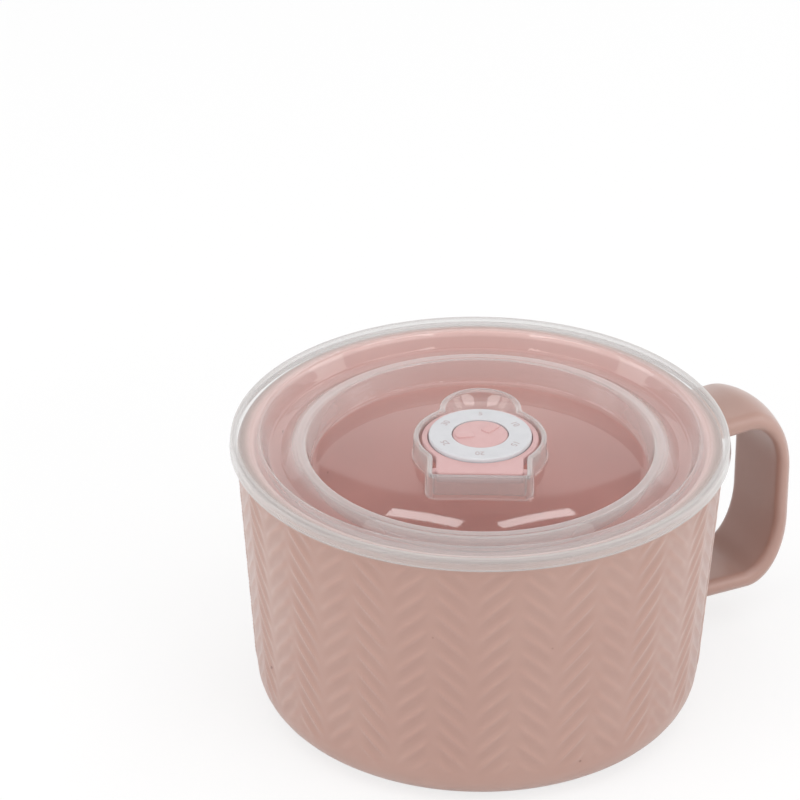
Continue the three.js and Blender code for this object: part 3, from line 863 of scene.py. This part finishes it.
def strap_section():
    """(across the strap, share of its thickness, share of its crown) round the section."""
    half, flat = HANDLE_WIDTH / 2, HANDLE_WIDTH / 2 - HANDLE_ROUND
    corners = [(flat, 0), (half, 0, HANDLE_ROUND), (half, HANDLE_EDGE, HANDLE_ROUND), (flat, HANDLE_EDGE)]
    side = rounded(corners, math.radians(12))
    steps = [flat * (1 - 2 * k / SECTION_STEPS) for k in range(1, SECTION_STEPS)]
    crown = [(a, HANDLE_EDGE) for a in steps]
    other = [(-a, b) for a, b in side[::-1]]
    back = [(-a, 0) for a in steps]
    points = [(a, b / HANDLE_EDGE) for a, b in [*side, *crown, *other, *back]]
    return [(a, share, share * (1 - (a / half) ** 2)) for a, share in points]


outer = strap_line(0, 0, OUTER_TOP, OUTER_BOTTOM)
inner = strap_line(HANDLE_EDGE, HANDLE_SIDE, INNER_TOP, INNER_BOTTOM)
section = strap_section()
print("strap of", len(outer), "stations with", len(section), "points each")

# %% [markdown]
# ### Joint and loft
# The handle is luted to the mug with slip, and the wet joint is wiped to a small fillet. Rings that
# spread towards the wall along a quarter circle make that fillet part of the loft itself, which is
# cleaner than a Boolean with a bevel.

# %% Loft with wiped joints
JOINT_BITE = 0.7
JOINT_STEPS, JOINT_SPREAD = 8, 1.6


def joint_rings(section_at, outwards):
    """Rings from inside the wall out to the strap, flared into a fillet, or the other way."""
    across, level = section_at[:, 1], section_at[:, 2]
    along = np.stack([across, level], axis=1)
    tangent = np.roll(along, -1, axis=0) - np.roll(along, 1, axis=0)
    outward = np.stack([tangent[:, 1], -tangent[:, 0]], axis=1)
    outward /= np.linalg.norm(outward, axis=1)[:, None]
    if ((along - along.mean(axis=0)) * outward).sum() < 0:
        outward = -outward
    rings = []
    for k in range(JOINT_STEPS + 1):
        d = JOINT_FILLET * (k / JOINT_STEPS) ** JOINT_SPREAD
        flare = JOINT_FILLET - math.sqrt(JOINT_FILLET ** 2 - (JOINT_FILLET - d) ** 2)
        place = along + outward * flare
        wall = np.sqrt(wall_radius(place[:, 1]) ** 2 - place[:, 0] ** 2)
        if k == 0:
            rings.append(np.stack([wall - JOINT_BITE, place[:, 0], place[:, 1]], axis=1))
        rings.append(np.stack([wall + d, place[:, 0], place[:, 1]], axis=1))
    return rings if outwards else rings[::-1]


stations = []
for far, near in zip(outer, inner):
    through = far - near
    crown = through / np.linalg.norm(through) * HANDLE_CROWN
    points = [(a, near + through * share + crown * swell) for a, share, swell in section]
    stations.append(np.array([(at[0], a, at[1]) for a, at in points]))
rings = joint_rings(stations[0], outwards=True) + stations[1:-1]
rings += joint_rings(stations[-1], outwards=False)
handle = make_object("handle_visual", *skin(rings, capped=True), sharp=75)
handle.data.materials.append(glaze)
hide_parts("handle")
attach(handle, "mug")
reach = max(v.co.x for v in handle.data.vertices) / MM
print("handle", len(handle.data.polygons), "faces, reaches", round(reach, 1), "mm")

# %% [markdown]
# ## Lid
# The lid is a thin moulding: a skirt that grips the rim, a trough, a raised ring and a domed panel. It
# is turned like the mug. The upper line is drawn, and the lower one is the same line moved by the wall's
# thickness, so that the wall is even everywhere.

# %% Lid shell
SEAT_GAP, RUN_GAP, LID_FIT = 0.3, 0.25, 0.35
LID_WALL = 1.2
SKIRT_HEIGHT, SKIRT_FLARE = 3.1, 0.4
LID_ROUND, LID_FILLET = 0.9, 1.3
PLUG_TAPER, TROUGH_DEPTH = 2.4, 5.5
RING_FOOT, RING_OUTER, RING_INNER, RING_DROP = 54.8, 50.6, 48.0, 2.9
PANEL_RADIUS, PANEL_DEPTH, PANEL_RISE = 46.2, 9.9, 3.4
HOUSING_DROP, FLAP_DROP = 0.9, 1.5
LID_TURN = math.radians(-32)
LID_SIDES, DOME_STEPS = 216, 36
RIM_STEP, SHELL_STEP = 0.45, 1.3

lid_top = MUG_HEIGHT + SEAT_GAP + LID_WALL
lid_radius = RIM_RADIUS + LID_FIT + LID_WALL
panel_top = lid_top - PANEL_DEPTH + PANEL_RISE
housing_top = lid_top - HOUSING_DROP
flap_top = lid_top - FLAP_DROP


def panel_height(radius):
    return panel_top - PANEL_RISE * (radius / PANEL_RADIUS) ** 2


def shell_steps(a, b):
    """Steps short enough for the milky rim, longer ones elsewhere."""
    return math.ceil(np.linalg.norm(b - a) / (RIM_STEP if a[0] > RIM_RADIUS else SHELL_STEP))


def turn_lid(obj):
    """Turns a piece of the lid to how the lid is put on."""
    obj.data.transform(Matrix.Rotation(LID_TURN, 4, "Z"))
    return obj


plug_wall = RIM_RADIUS - MUG_WALL - LID_FIT - LID_WALL
trough, ring_top = lid_top - TROUGH_DEPTH, lid_top - RING_DROP
dome = [PANEL_RADIUS * k / DOME_STEPS for k in range(DOME_STEPS - 2, -1, -1)]
upper = [
    (lid_radius + SKIRT_FLARE, lid_top - SKIRT_HEIGHT),
    (lid_radius, lid_top, LID_ROUND),
    (plug_wall, lid_top, LID_FILLET),
    (plug_wall - PLUG_TAPER, trough, LID_FILLET),
    (RING_FOOT, trough, LID_FILLET),
    (RING_OUTER, ring_top, LID_ROUND),
    (RING_INNER, ring_top, LID_ROUND),
    (PANEL_RADIUS, panel_height(PANEL_RADIUS), LID_FILLET),
    *[(radius, panel_height(radius)) for radius in dome],
]
lower = offset_corners(upper, LID_WALL)
shell_line = split(np.concatenate([rounded(upper), rounded(lower)[::-1]]), shell_steps)
shell_line[:, 0] = np.maximum(shell_line[:, 0], 0)
half_way = int(np.argmin(shell_line[:, 0]))
shell_line = np.concatenate([shell_line[half_way + 1:], shell_line[:half_way + 1]])
lid = turned("lid_visual", shell_line, LID_SIDES)
print("lid shell", len(lid.data.polygons), "faces, top at", round(lid_top, 1), "mm")

# %% [markdown]
# ### Vent housing
# The keyhole housing of the vent stands on the panel, with a bay for the fingertip. It is a wall of
# even thickness along an outline, with a round top edge and a flared foot, so rings of that outline
# give it. The outline is made of arcs and straight runs, eased at its corners as a mould is.

# %% Keyhole outline
SCOOP_CENTRE = 15.7
OUTLINE_SOFTNESS = 2.0
ARC_POINTS, SIDE_POINTS, CORNER_POINTS, END_POINTS = 72, 20, 8, 60


def arc_points(centre, radius, start, end, count):
    angle = np.linspace(start, end, count, endpoint=False)
    return np.stack([centre[0] + radius * np.cos(angle), centre[1] + radius * np.sin(angle)], axis=1)


def side_points(start, end, count):
    share = np.linspace(0, 1, count, endpoint=False)[:, None]
    return np.array(start) * (1 - share) + np.array(end) * share


def softened(points, sigma):
    """A closed line with its corners eased. sigma counts points."""
    reach = int(3 * sigma) + 1
    weights = np.exp(-0.5 * (np.arange(-reach, reach + 1) / sigma) ** 2)
    weights /= weights.sum()
    return sum(w * np.roll(points, k, axis=0) for k, w in zip(range(-reach, reach + 1), weights))


def keyhole(disc, half, reach, corner, scoop=None):
    """A disc with a straight tail towards -Y and, with scoop, a bay of that radius on its far side."""
    join = math.sqrt(disc ** 2 - half ** 2)
    low = math.atan2(-join, half)
    if scoop:
        y = (disc ** 2 - scoop ** 2 + SCOOP_CENTRE ** 2) / (2 * SCOOP_CENTRE)
        x = math.sqrt(disc ** 2 - y ** 2)
        meet, bay = math.atan2(y, x), math.atan2(y - SCOOP_CENTRE, x)
        far = arc_points((0, SCOOP_CENTRE), scoop, bay, math.pi - bay, ARC_POINTS)
    else:
        meet = math.pi / 2
        far = np.zeros((0, 2))
    return softened(np.concatenate([
        far,
        arc_points((0, 0), disc, math.pi - meet, math.pi - low, ARC_POINTS),
        side_points((-half, -join), (-half, corner - reach), SIDE_POINTS),
        arc_points((corner - half, corner - reach), corner, math.pi, 1.5 * math.pi, CORNER_POINTS),
        side_points((corner - half, -reach), (half - corner, -reach), END_POINTS),
        arc_points((half - corner, corner - reach), corner, -0.5 * math.pi, 0, CORNER_POINTS),
        side_points((half, corner - reach), (half, -join), SIDE_POINTS),
        arc_points((0, 0), disc, low, meet, ARC_POINTS),
    ]), OUTLINE_SOFTNESS)


print("outline of arcs with", ARC_POINTS, "points each")

# %% Housing wall
FLAP_RADIUS, TAIL_HALF, TAIL_REACH = 16.15, 11.95, 19.95
DISC_ROOM, SIDE_ROOM, END_ROOM = 0.65, 0.85, 1.95
END_DRAFT = 0.8
TAIL_CORNER = 0.8
SCOOP_TOP, SCOOP_FOOT = 10.1, 7.0
HOUSING_WALL = 1.6
FOOT_FLARE, FOOT_SINK, WALL_START = 0.7, 0.02, 1.0
FOOT_SHARES, WALL_SHARES, TOP_STEPS = (0.0, 0.3, 0.65, 1.0), (0.35, 0.7, 1.0), 12


def housing_ring(extra, z):
    """The housing's inner outline at a height, moved out by extra."""
    depth = (housing_top - z) / (housing_top - panel_top)
    flat = keyhole(
        FLAP_RADIUS + DISC_ROOM + extra, TAIL_HALF + SIDE_ROOM + extra,
        TAIL_REACH + END_ROOM + END_DRAFT * (depth - 0.5) + extra,
        TAIL_CORNER + max(extra, 0), SCOOP_TOP - (SCOOP_TOP - SCOOP_FOOT) * depth + extra,
    )
    return np.column_stack([flat, np.full(len(flat), z)])


def on_panel(ring, lift):
    """The same ring laid on the panel."""
    ring = ring.copy()
    ring[:, 2] = panel_height(np.hypot(ring[:, 0], ring[:, 1])) + lift
    return ring


def wall_side(extra, sign):
    """Rings up one side of the wall: from inside the panel, over the flared foot, to the round top."""
    rings = [on_panel(housing_ring(extra + sign * FOOT_FLARE, panel_top), -LID_WALL / 2)]
    for share in FOOT_SHARES:
        flare = FOOT_FLARE * (1 - math.sqrt(1 - (1 - share) ** 2))
        ring = housing_ring(extra + sign * flare, panel_top)
        rings.append(on_panel(ring, FOOT_FLARE * share - FOOT_SINK))
    low = panel_top + WALL_START
    for share in WALL_SHARES:
        rings.append(housing_ring(extra, low + (housing_top - top_round - low) * share))
    return rings


top_round = HOUSING_WALL / 2
rings = wall_side(0, -1)
for k in range(1, TOP_STEPS):
    angle = math.pi * k / TOP_STEPS
    rings.append(housing_ring(
        top_round * (1 - math.cos(angle)), housing_top - top_round + top_round * math.sin(angle)))
rings += wall_side(HOUSING_WALL, 1)[::-1]
housing = make_object("housing", *skin(rings, closed=True))
print("housing wall", len(housing.data.polygons), "faces")

# %% [markdown]
# ### Steam hole and hinge sockets
# The housing is moulded in one piece with the shell. The steam hole goes through the panel, and the
# flap's two trunnions click into round sockets in the wall. Booleans suit this: the cutters are plain
# round solids, and both meshes are closed.

# %% Steam hole and hinge sockets
HINGE_REACH, HINGE_DROP = 17.8, 1.4
TRUNNION, TRUNNION_BITE = 1.3, 0.8
STEAM_HOLE = 3.0
HOLE_BELOW, HOLE_ABOVE = 4.0, 1.0
ROD_EASE = 0.2


def rod(name, radius, start, end, y, z, sides=48):
    """A round rod along X with eased ends."""
    ease = min(ROD_EASE, radius / 4)
    line = rounded([(0, start), (radius, start, ease), (radius, end, ease), (0, end)], COARSE_STEP)
    obj = turned(name, line, sides)
    obj.data.transform(Matrix.Translation(Vector((0, y, z)) * MM) @ Matrix.Rotation(math.pi / 2, 4, "Y"))
    return obj


hinge_height = flap_top - HINGE_DROP
socket_end = TAIL_HALF + SIDE_ROOM + TRUNNION_BITE + RUN_GAP
sockets = rod("sockets", TRUNNION + RUN_GAP, -socket_end, socket_end, -HINGE_REACH, hinge_height)
low, high = panel_top - HOLE_BELOW, panel_top + HOLE_ABOVE
hole = turned("hole", [(0, low), (STEAM_HOLE, low), (STEAM_HOLE, high), (0, high)], sides=64)
combine(lid, housing, "UNION")
combine(lid, sockets, "DIFFERENCE")
combine(lid, hole, "DIFFERENCE")
turn_lid(lid)
print("lid with housing", len(lid.data.polygons), "faces")

# %% [markdown]
# ### Milk
# The lid's finish reads how milky each place is. On the shell that goes by the radius, with more at
# the thick corners. On the housing the wall is milky, its corners and top edge most, and the bay of
# the finger scoop is clear.

# %% How milky the lid is
# by radius
MILK = (
    (0, 0.04), (46.3, 0.04), (46.6, 0.30), (47.8, 0.46), (51.0, 0.39), (52.5, 0.22), (54.8, 0.15),
    (58.0, 0.15), (60.2, 0.18), (63.0, 0.17), (66.6, 0.18), (67.3, 0.40), (70, 0.40),
)
# radius and height of a thick corner, its milk and how far that reaches
MILKY_EDGES = (
    (lid_radius + SKIRT_FLARE - 0.5, lid_top - SKIRT_HEIGHT, 0.95, 0.55),
    (lid_radius - 0.7, lid_top - 0.4, 0.92, 0.95),
    (plug_wall, lid_top - 0.4, 0.30, 0.9),
    (RING_OUTER, ring_top - 0.4, 0.50, 0.8),
    (RING_INNER, ring_top - 0.4, 0.55, 0.8),
)
HOUSING_MILK, BAY_MILK, CORNER_MILK, EDGE_MILK = 0.50, 0.05, 0.62, 0.55
BAY_START, BAY_BLEND, CORNER_BLEND = 13.5, 1.5, 0.8
EDGE_START, EDGE_BLEND, FOOT_BLEND, PANEL_MARGIN = 0.8, 0.4, 0.25, 6.0

place = np.array([v.co for v in lid.data.vertices]) / MM
radius = np.hypot(place[:, 0], place[:, 1])
milk = np.interp(radius, *np.array(MILK).T)
for edge_radius, level, most, width in MILKY_EDGES:
    near = np.exp(-((radius - edge_radius) ** 2 + (place[:, 2] - level) ** 2) / width ** 2)
    milk = milk + (most - milk) * near
forth = place[:, 1] * math.cos(LID_TURN) - place[:, 0] * math.sin(LID_TURN)
aside = np.abs(place[:, 0] * math.cos(LID_TURN) + place[:, 1] * math.sin(LID_TURN))
bay = np.clip((forth - BAY_START) / BAY_BLEND, 0, 1)
corner = np.clip((aside - TAIL_HALF) / CORNER_BLEND, 0, 1) * np.clip(-forth - FLAP_RADIUS, 0, 1)
wall = HOUSING_MILK + (BAY_MILK - HOUSING_MILK) * bay + (CORNER_MILK - HOUSING_MILK) * corner
edge = np.clip((place[:, 2] - housing_top + EDGE_START) / EDGE_BLEND, 0, 1)
wall = wall + (EDGE_MILK - wall) * edge
over = np.clip((place[:, 2] - panel_height(radius)) / FOOT_BLEND, 0, 1)
milk = milk + (wall - milk) * over * (radius < PANEL_RADIUS - PANEL_MARGIN)
lid.data.attributes.new("milk", "FLOAT", "POINT").data.foreach_set("value", milk)
lid.data.materials.clear()
lid.data.materials.append(natural_plastic)
smooth(lid, sharp=32)
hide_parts("lid")
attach(lid, "cover")
print("milk from", round(milk.min(), 2), "to", round(milk.max(), 2))

# %% [markdown]
# ## Vent flap
# The flap closes the steam hole. It is a disc with a straight tail and a seat for the date ring. Under
# it are a stiffening skirt and a boss for the plug, and two trunnions turn in the housing's sockets.
# All of its rings share one set of directions, so circles and the keyhole outline can be skinned into
# one closed body.

# %% Vent flap plate
FLAP_PLATE, TAIL_THICKNESS, TAIL_LENGTH = 2.4, 3.4, 6.0
SKIRT_RADIUS, SKIRT_WALL, SKIRT_DEPTH, BOSS_WALL = 14.6, 1.6, 2.0, 1.7
DIAL_OUTER, DIAL_RECESS = 14.2, 1.2
KNOB_PIN, KNOB_PIN_HEIGHT = 2.0, 0.9
PLUG_STEM, PLUG_HEAD_THICKNESS = 2.6, 1.2
FLAP_EASE, FLAP_CORNER, CORNER_LEAST, TAIL_STEP, SEAT_LAND = 0.55, 0.9, 0.35, 0.6, 0.25
UNDER_STEPS, OVER_STEPS, TRUNNION_ROOT = 4, 6, 1.0
# radii of eased edges
TINY, SMALL, SOFT, ROUND, BOLD = 0.1, 0.2, 0.3, 0.4, 0.6

recess_floor = flap_top - DIAL_RECESS
plate_foot = flap_top - FLAP_PLATE


def flap_outline(inset):
    corner = max(FLAP_CORNER - inset, CORNER_LEAST)
    return keyhole(FLAP_RADIUS - inset, TAIL_HALF - inset, TAIL_REACH - inset, corner)


directions = flap_outline(0) / np.linalg.norm(flap_outline(0), axis=1)[:, None]


def circle_ring(radius, z):
    return np.column_stack([directions * radius, np.full(len(directions), z)])


def plate_ring(inset, z):
    """The flap's outline at a height. Its underside is lower along the thick tail."""
    flat = flap_outline(inset)
    lower = np.clip((-flat[:, 1] - (TAIL_REACH - TAIL_LENGTH)) / TAIL_STEP + 0.5, 0, 1)
    drop = lower * (TAIL_THICKNESS - FLAP_PLATE) * (z <= plate_foot + FLAP_EASE)
    return np.column_stack([flat, z - drop])


boss_inner = PLUG_STEM + RUN_GAP
boss_outer = boss_inner + BOSS_WALL
boss_foot = panel_top + SEAT_GAP + PLUG_HEAD_THICKNESS + SEAT_GAP
skirt_inner, skirt_foot = SKIRT_RADIUS - SKIRT_WALL, plate_foot - SKIRT_DEPTH
under = rounded([
    (0, plate_foot), (boss_inner, plate_foot), (boss_inner, boss_foot, SOFT),
    (boss_outer, boss_foot, SOFT), (boss_outer, plate_foot, ROUND), (skirt_inner, plate_foot, ROUND),
    (skirt_inner, skirt_foot, SOFT), (SKIRT_RADIUS, skirt_foot, SOFT), (SKIRT_RADIUS, plate_foot),
], COARSE_STEP)
seat_radius, pin_top = DIAL_OUTER + RUN_GAP, recess_floor + KNOB_PIN_HEIGHT
over = rounded([
    (seat_radius + SEAT_LAND, flap_top), (seat_radius, flap_top, SMALL),
    (seat_radius, recess_floor, SMALL), (KNOB_PIN, recess_floor, SMALL), (KNOB_PIN, pin_top, SMALL),
    (0, pin_top),
], COARSE_STEP)
rings = [circle_ring(r, z) for r, z in under]
for k in range(UNDER_STEPS + 1):
    angle = math.pi / 2 * k / UNDER_STEPS
    rise = FLAP_EASE * (1 - math.cos(angle))
    rings.append(plate_ring(FLAP_EASE * (1 - math.sin(angle)), plate_foot + rise))
for k in range(OVER_STEPS + 1):
    angle = math.pi / 2 * k / OVER_STEPS
    drop = FLAP_EASE * (1 - math.sin(angle))
    rings.append(plate_ring(FLAP_EASE * (1 - math.cos(angle)), flap_top - drop))
rings += [circle_ring(r, z) for r, z in over]
plate = make_object("plate", *skin(rings), sharp=40)
root, end = TAIL_HALF - TRUNNION_ROOT, TAIL_HALF + SIDE_ROOM + TRUNNION_BITE
trunnions = [
    rod("trunnion", TRUNNION, start, stop, -HINGE_REACH, hinge_height)
    for start, stop in ((root, end), (-end, -root))
]
flap = smooth(merge("vent_flap_visual", [plate, *trunnions]), sharp=40)
print("flap", len(flap.data.polygons), "faces, top at", round(flap_top, 1), "mm")

# %% [markdown]
# ### Date ring, pointer and plug
# The white ring sits in the flap's seat. Its lip holds down the flange of the pointer, which turns on a
# pin of the flap. The soft plug under the flap closes the steam hole. All three are round, so each is
# one turned line, and they share the values that they fit by.

# %% Date ring, pointer and plug
DIAL_INNER, DIAL_THICKNESS, DIAL_LIP = 7.85, 2.0, 1.05
KNOB_DROP, KNOB_GAP, KNOB_FLANGE, KNOB_FLANGE_THICKNESS, KNOB_EDGE = 0.25, 0.15, 1.6, 0.6, 0.15
PLUG_HEAD, PLUG_NOSE, PLUG_DRAFT = 5.2, 1.2, 0.5

ring_foot = recess_floor + SEAT_GAP
dial_top = ring_foot + DIAL_THICKNESS
knob_radius = DIAL_INNER - KNOB_GAP
flange = knob_radius + KNOB_FLANGE
ring_bore = flange + RUN_GAP
dial_line = [
    (ring_bore, ring_foot), (DIAL_OUTER, ring_foot, SMALL), (DIAL_OUTER, dial_top, BOLD),
    (DIAL_INNER, dial_top, SMALL), (DIAL_INNER, dial_top - DIAL_LIP, TINY),
    (ring_bore, dial_top - DIAL_LIP, TINY), (ring_bore, ring_foot),
]
date_ring = turned("date_ring_visual", rounded(dial_line, FINE_STEP)[:-1], sides=160)

socket = pin_top + RUN_GAP
flange_top = ring_foot + KNOB_FLANGE_THICKNESS
knob_top = dial_top - KNOB_DROP
knob_line = [
    (0, socket), (KNOB_PIN + RUN_GAP, socket), (KNOB_PIN + RUN_GAP, ring_foot),
    (flange, ring_foot, KNOB_EDGE), (flange, flange_top, KNOB_EDGE), (knob_radius, flange_top, TINY),
    (knob_radius, knob_top, ROUND), (0, knob_top),
]
knob = turned("knob", rounded(knob_line, FINE_STEP), sides=120)

seat = panel_top + SEAT_GAP
plug_root = STEAM_HOLE - RUN_GAP
plug_head_top, plug_top = seat + PLUG_HEAD_THICKNESS, plate_foot - SEAT_GAP
plug_line = [
    (0, seat - PLUG_NOSE), (plug_root - PLUG_DRAFT, seat - PLUG_NOSE, ROUND), (plug_root, seat, SMALL),
    (PLUG_HEAD, seat, SOFT), (PLUG_HEAD, plug_head_top, SOFT), (PLUG_STEM, plug_head_top, SOFT),
    (PLUG_STEM, plug_top, ROUND), (0, plug_top),
]
plug = turned("vent_plug_visual", rounded(plug_line, math.radians(20)), sides=64)
print("date ring up to", round(dial_top, 1), "mm, pointer up to", round(knob_top, 1), "mm")

# %% [markdown]
# ### Grips
# Two low wedges on the pointer give the fingers hold. Each is an outline with eased corners, stacked
# in rings that draw in at the top. Then the four small pieces are turned with the lid, get their
# finishes and ride on their bodies.

# %% Grips on the pointer
GRIP_LENGTH, GRIP_WIDTH, GRIP_HEIGHT, GRIP_INSET, GRIP_START = 5.0, 3.0, 0.45, 0.9, 0.55
GRIP_ANGLES = (190, 50)
NEAR_ROUND, FAR_ROUND, SEAM = 0.5, 0.9, 0.01
# how far each ring draws in, and its share of the height
GRIP_RINGS = ((0.0, -0.6), (0.0, 0.0), (0.0, 0.75), (0.05, 0.93), (0.15, 1.0), (1.2, 1.0))


def grip(angle):
    """A wedge that rises towards the pointer's edge, with eased edges."""
    far, half = knob_radius - GRIP_INSET, GRIP_WIDTH / 2
    near = far - GRIP_LENGTH
    outline = rounded([
        (near, 0), (near, -half, NEAR_ROUND), (far, -half, FAR_ROUND), (far, half, FAR_ROUND),
        (near, half, NEAR_ROUND), (near, SEAM),
    ], math.radians(15))
    middle = np.array([far - GRIP_LENGTH / 2, 0])
    inward = (middle - outline) / np.linalg.norm(middle - outline, axis=1)[:, None]
    height = GRIP_HEIGHT * np.interp(outline[:, 0], (near, far), (GRIP_START, 1))
    rings = []
    for inset, share in GRIP_RINGS:
        rings.append(np.column_stack([outline + inward * inset, knob_top + height * share]))
    obj = make_object("grip", *skin(rings, capped=True), sharp=50)
    obj.data.transform(Matrix.Rotation(math.radians(angle), 4, "Z"))
    return obj


grips = [grip(angle) for angle in GRIP_ANGLES]
pointer = smooth(merge("pointer_knob_visual", [knob, *grips]), sharp=40)

for piece, finish, node, body, slot in (
    (flap, rose_plastic, "vent_flap", "flap", "flap_plastic"),
    (date_ring, white_plastic, "date_ring", "flap", "ring_plastic"),
    (plug, silicone, "vent_plug", "flap", "plug_silicone"),
    (pointer, rose_plastic, "pointer_knob", "pointer", "flap_plastic"),
):
    turn_lid(piece)
    piece.data.materials.append(finish)
    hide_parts(node)
    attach(piece, body)
    print(node, len(piece.data.polygons), "faces")

# %% [markdown]
# ## Numbers on the date ring
# The ring is printed with days of the month in steps of five, small and pale. A tree makes them from
# their strings: each number is filled, moved out to the ring, turned to its place and given the
# thickness of ink.

# %% Printed numbers
NUMBERS = ("5", "10", "15", "20", "25", "30")
NUMBER_SIZE = 2.7
NUMBER_RADIUS = 11.0
INK = 0.03


def dial_print():
    """Numbers round the dial, each a filled outline with the thickness of ink."""
    t, given, result = geometry_tree("dial_print", ["Number Size", "Number Radius", "Level", "Ink"])
    join = t.add("GeometryNodeJoinGeometry")
    for k, text in enumerate(NUMBERS):
        letters = t.add("GeometryNodeStringToCurves", {"align_x": "CENTER", "align_y": "MIDDLE"},
                        String=text, Size=given["Number Size"]).outputs["Curve Instances"]
        flat = t.add("GeometryNodeFillCurve", Curve=letters).outputs["Mesh"]
        out = t.add("ShaderNodeCombineXYZ", X=0.0, Y=given["Number Radius"], Z=0.0).outputs[0]
        placed = t.add("GeometryNodeTransform", Geometry=flat, Translation=out).outputs[0]
        angle = -2 * math.pi * k / len(NUMBERS)
        round_dial = t.add("GeometryNodeTransform", Geometry=placed, Rotation=(0, 0, angle)).outputs[0]
        t.tree.links.new(round_dial, join.inputs[0])
    real = t.add("GeometryNodeRealizeInstances", Geometry=join.outputs[0]).outputs[0]
    thick = t.add("GeometryNodeExtrudeMesh", Mesh=real, Offset_Scale=given["Ink"])
    thick.inputs["Individual"].default_value = False
    raised = t.add("ShaderNodeCombineXYZ", X=0.0, Y=0.0, Z=given["Level"]).outputs[0]
    level = t.add("GeometryNodeTransform", Geometry=thick.outputs["Mesh"], Translation=raised).outputs[0]
    t.feed(result, t.add("GeometryNodeSetMaterial", Geometry=level, Material=print_ink).outputs[0])
    return t.tree


numbers = make_object("date_print", [(0, 0, 0), (1, 0, 0), (0, 1, 0)], [(0, 1, 2)])
grow(numbers, dial_print(), {
    "Number Size": NUMBER_SIZE * MM, "Number Radius": NUMBER_RADIUS * MM, "Level": dial_top * MM,
    "Ink": INK * MM,
})
turn_lid(numbers)
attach(numbers, "flap")
print("print", len(numbers.data.polygons), "faces")
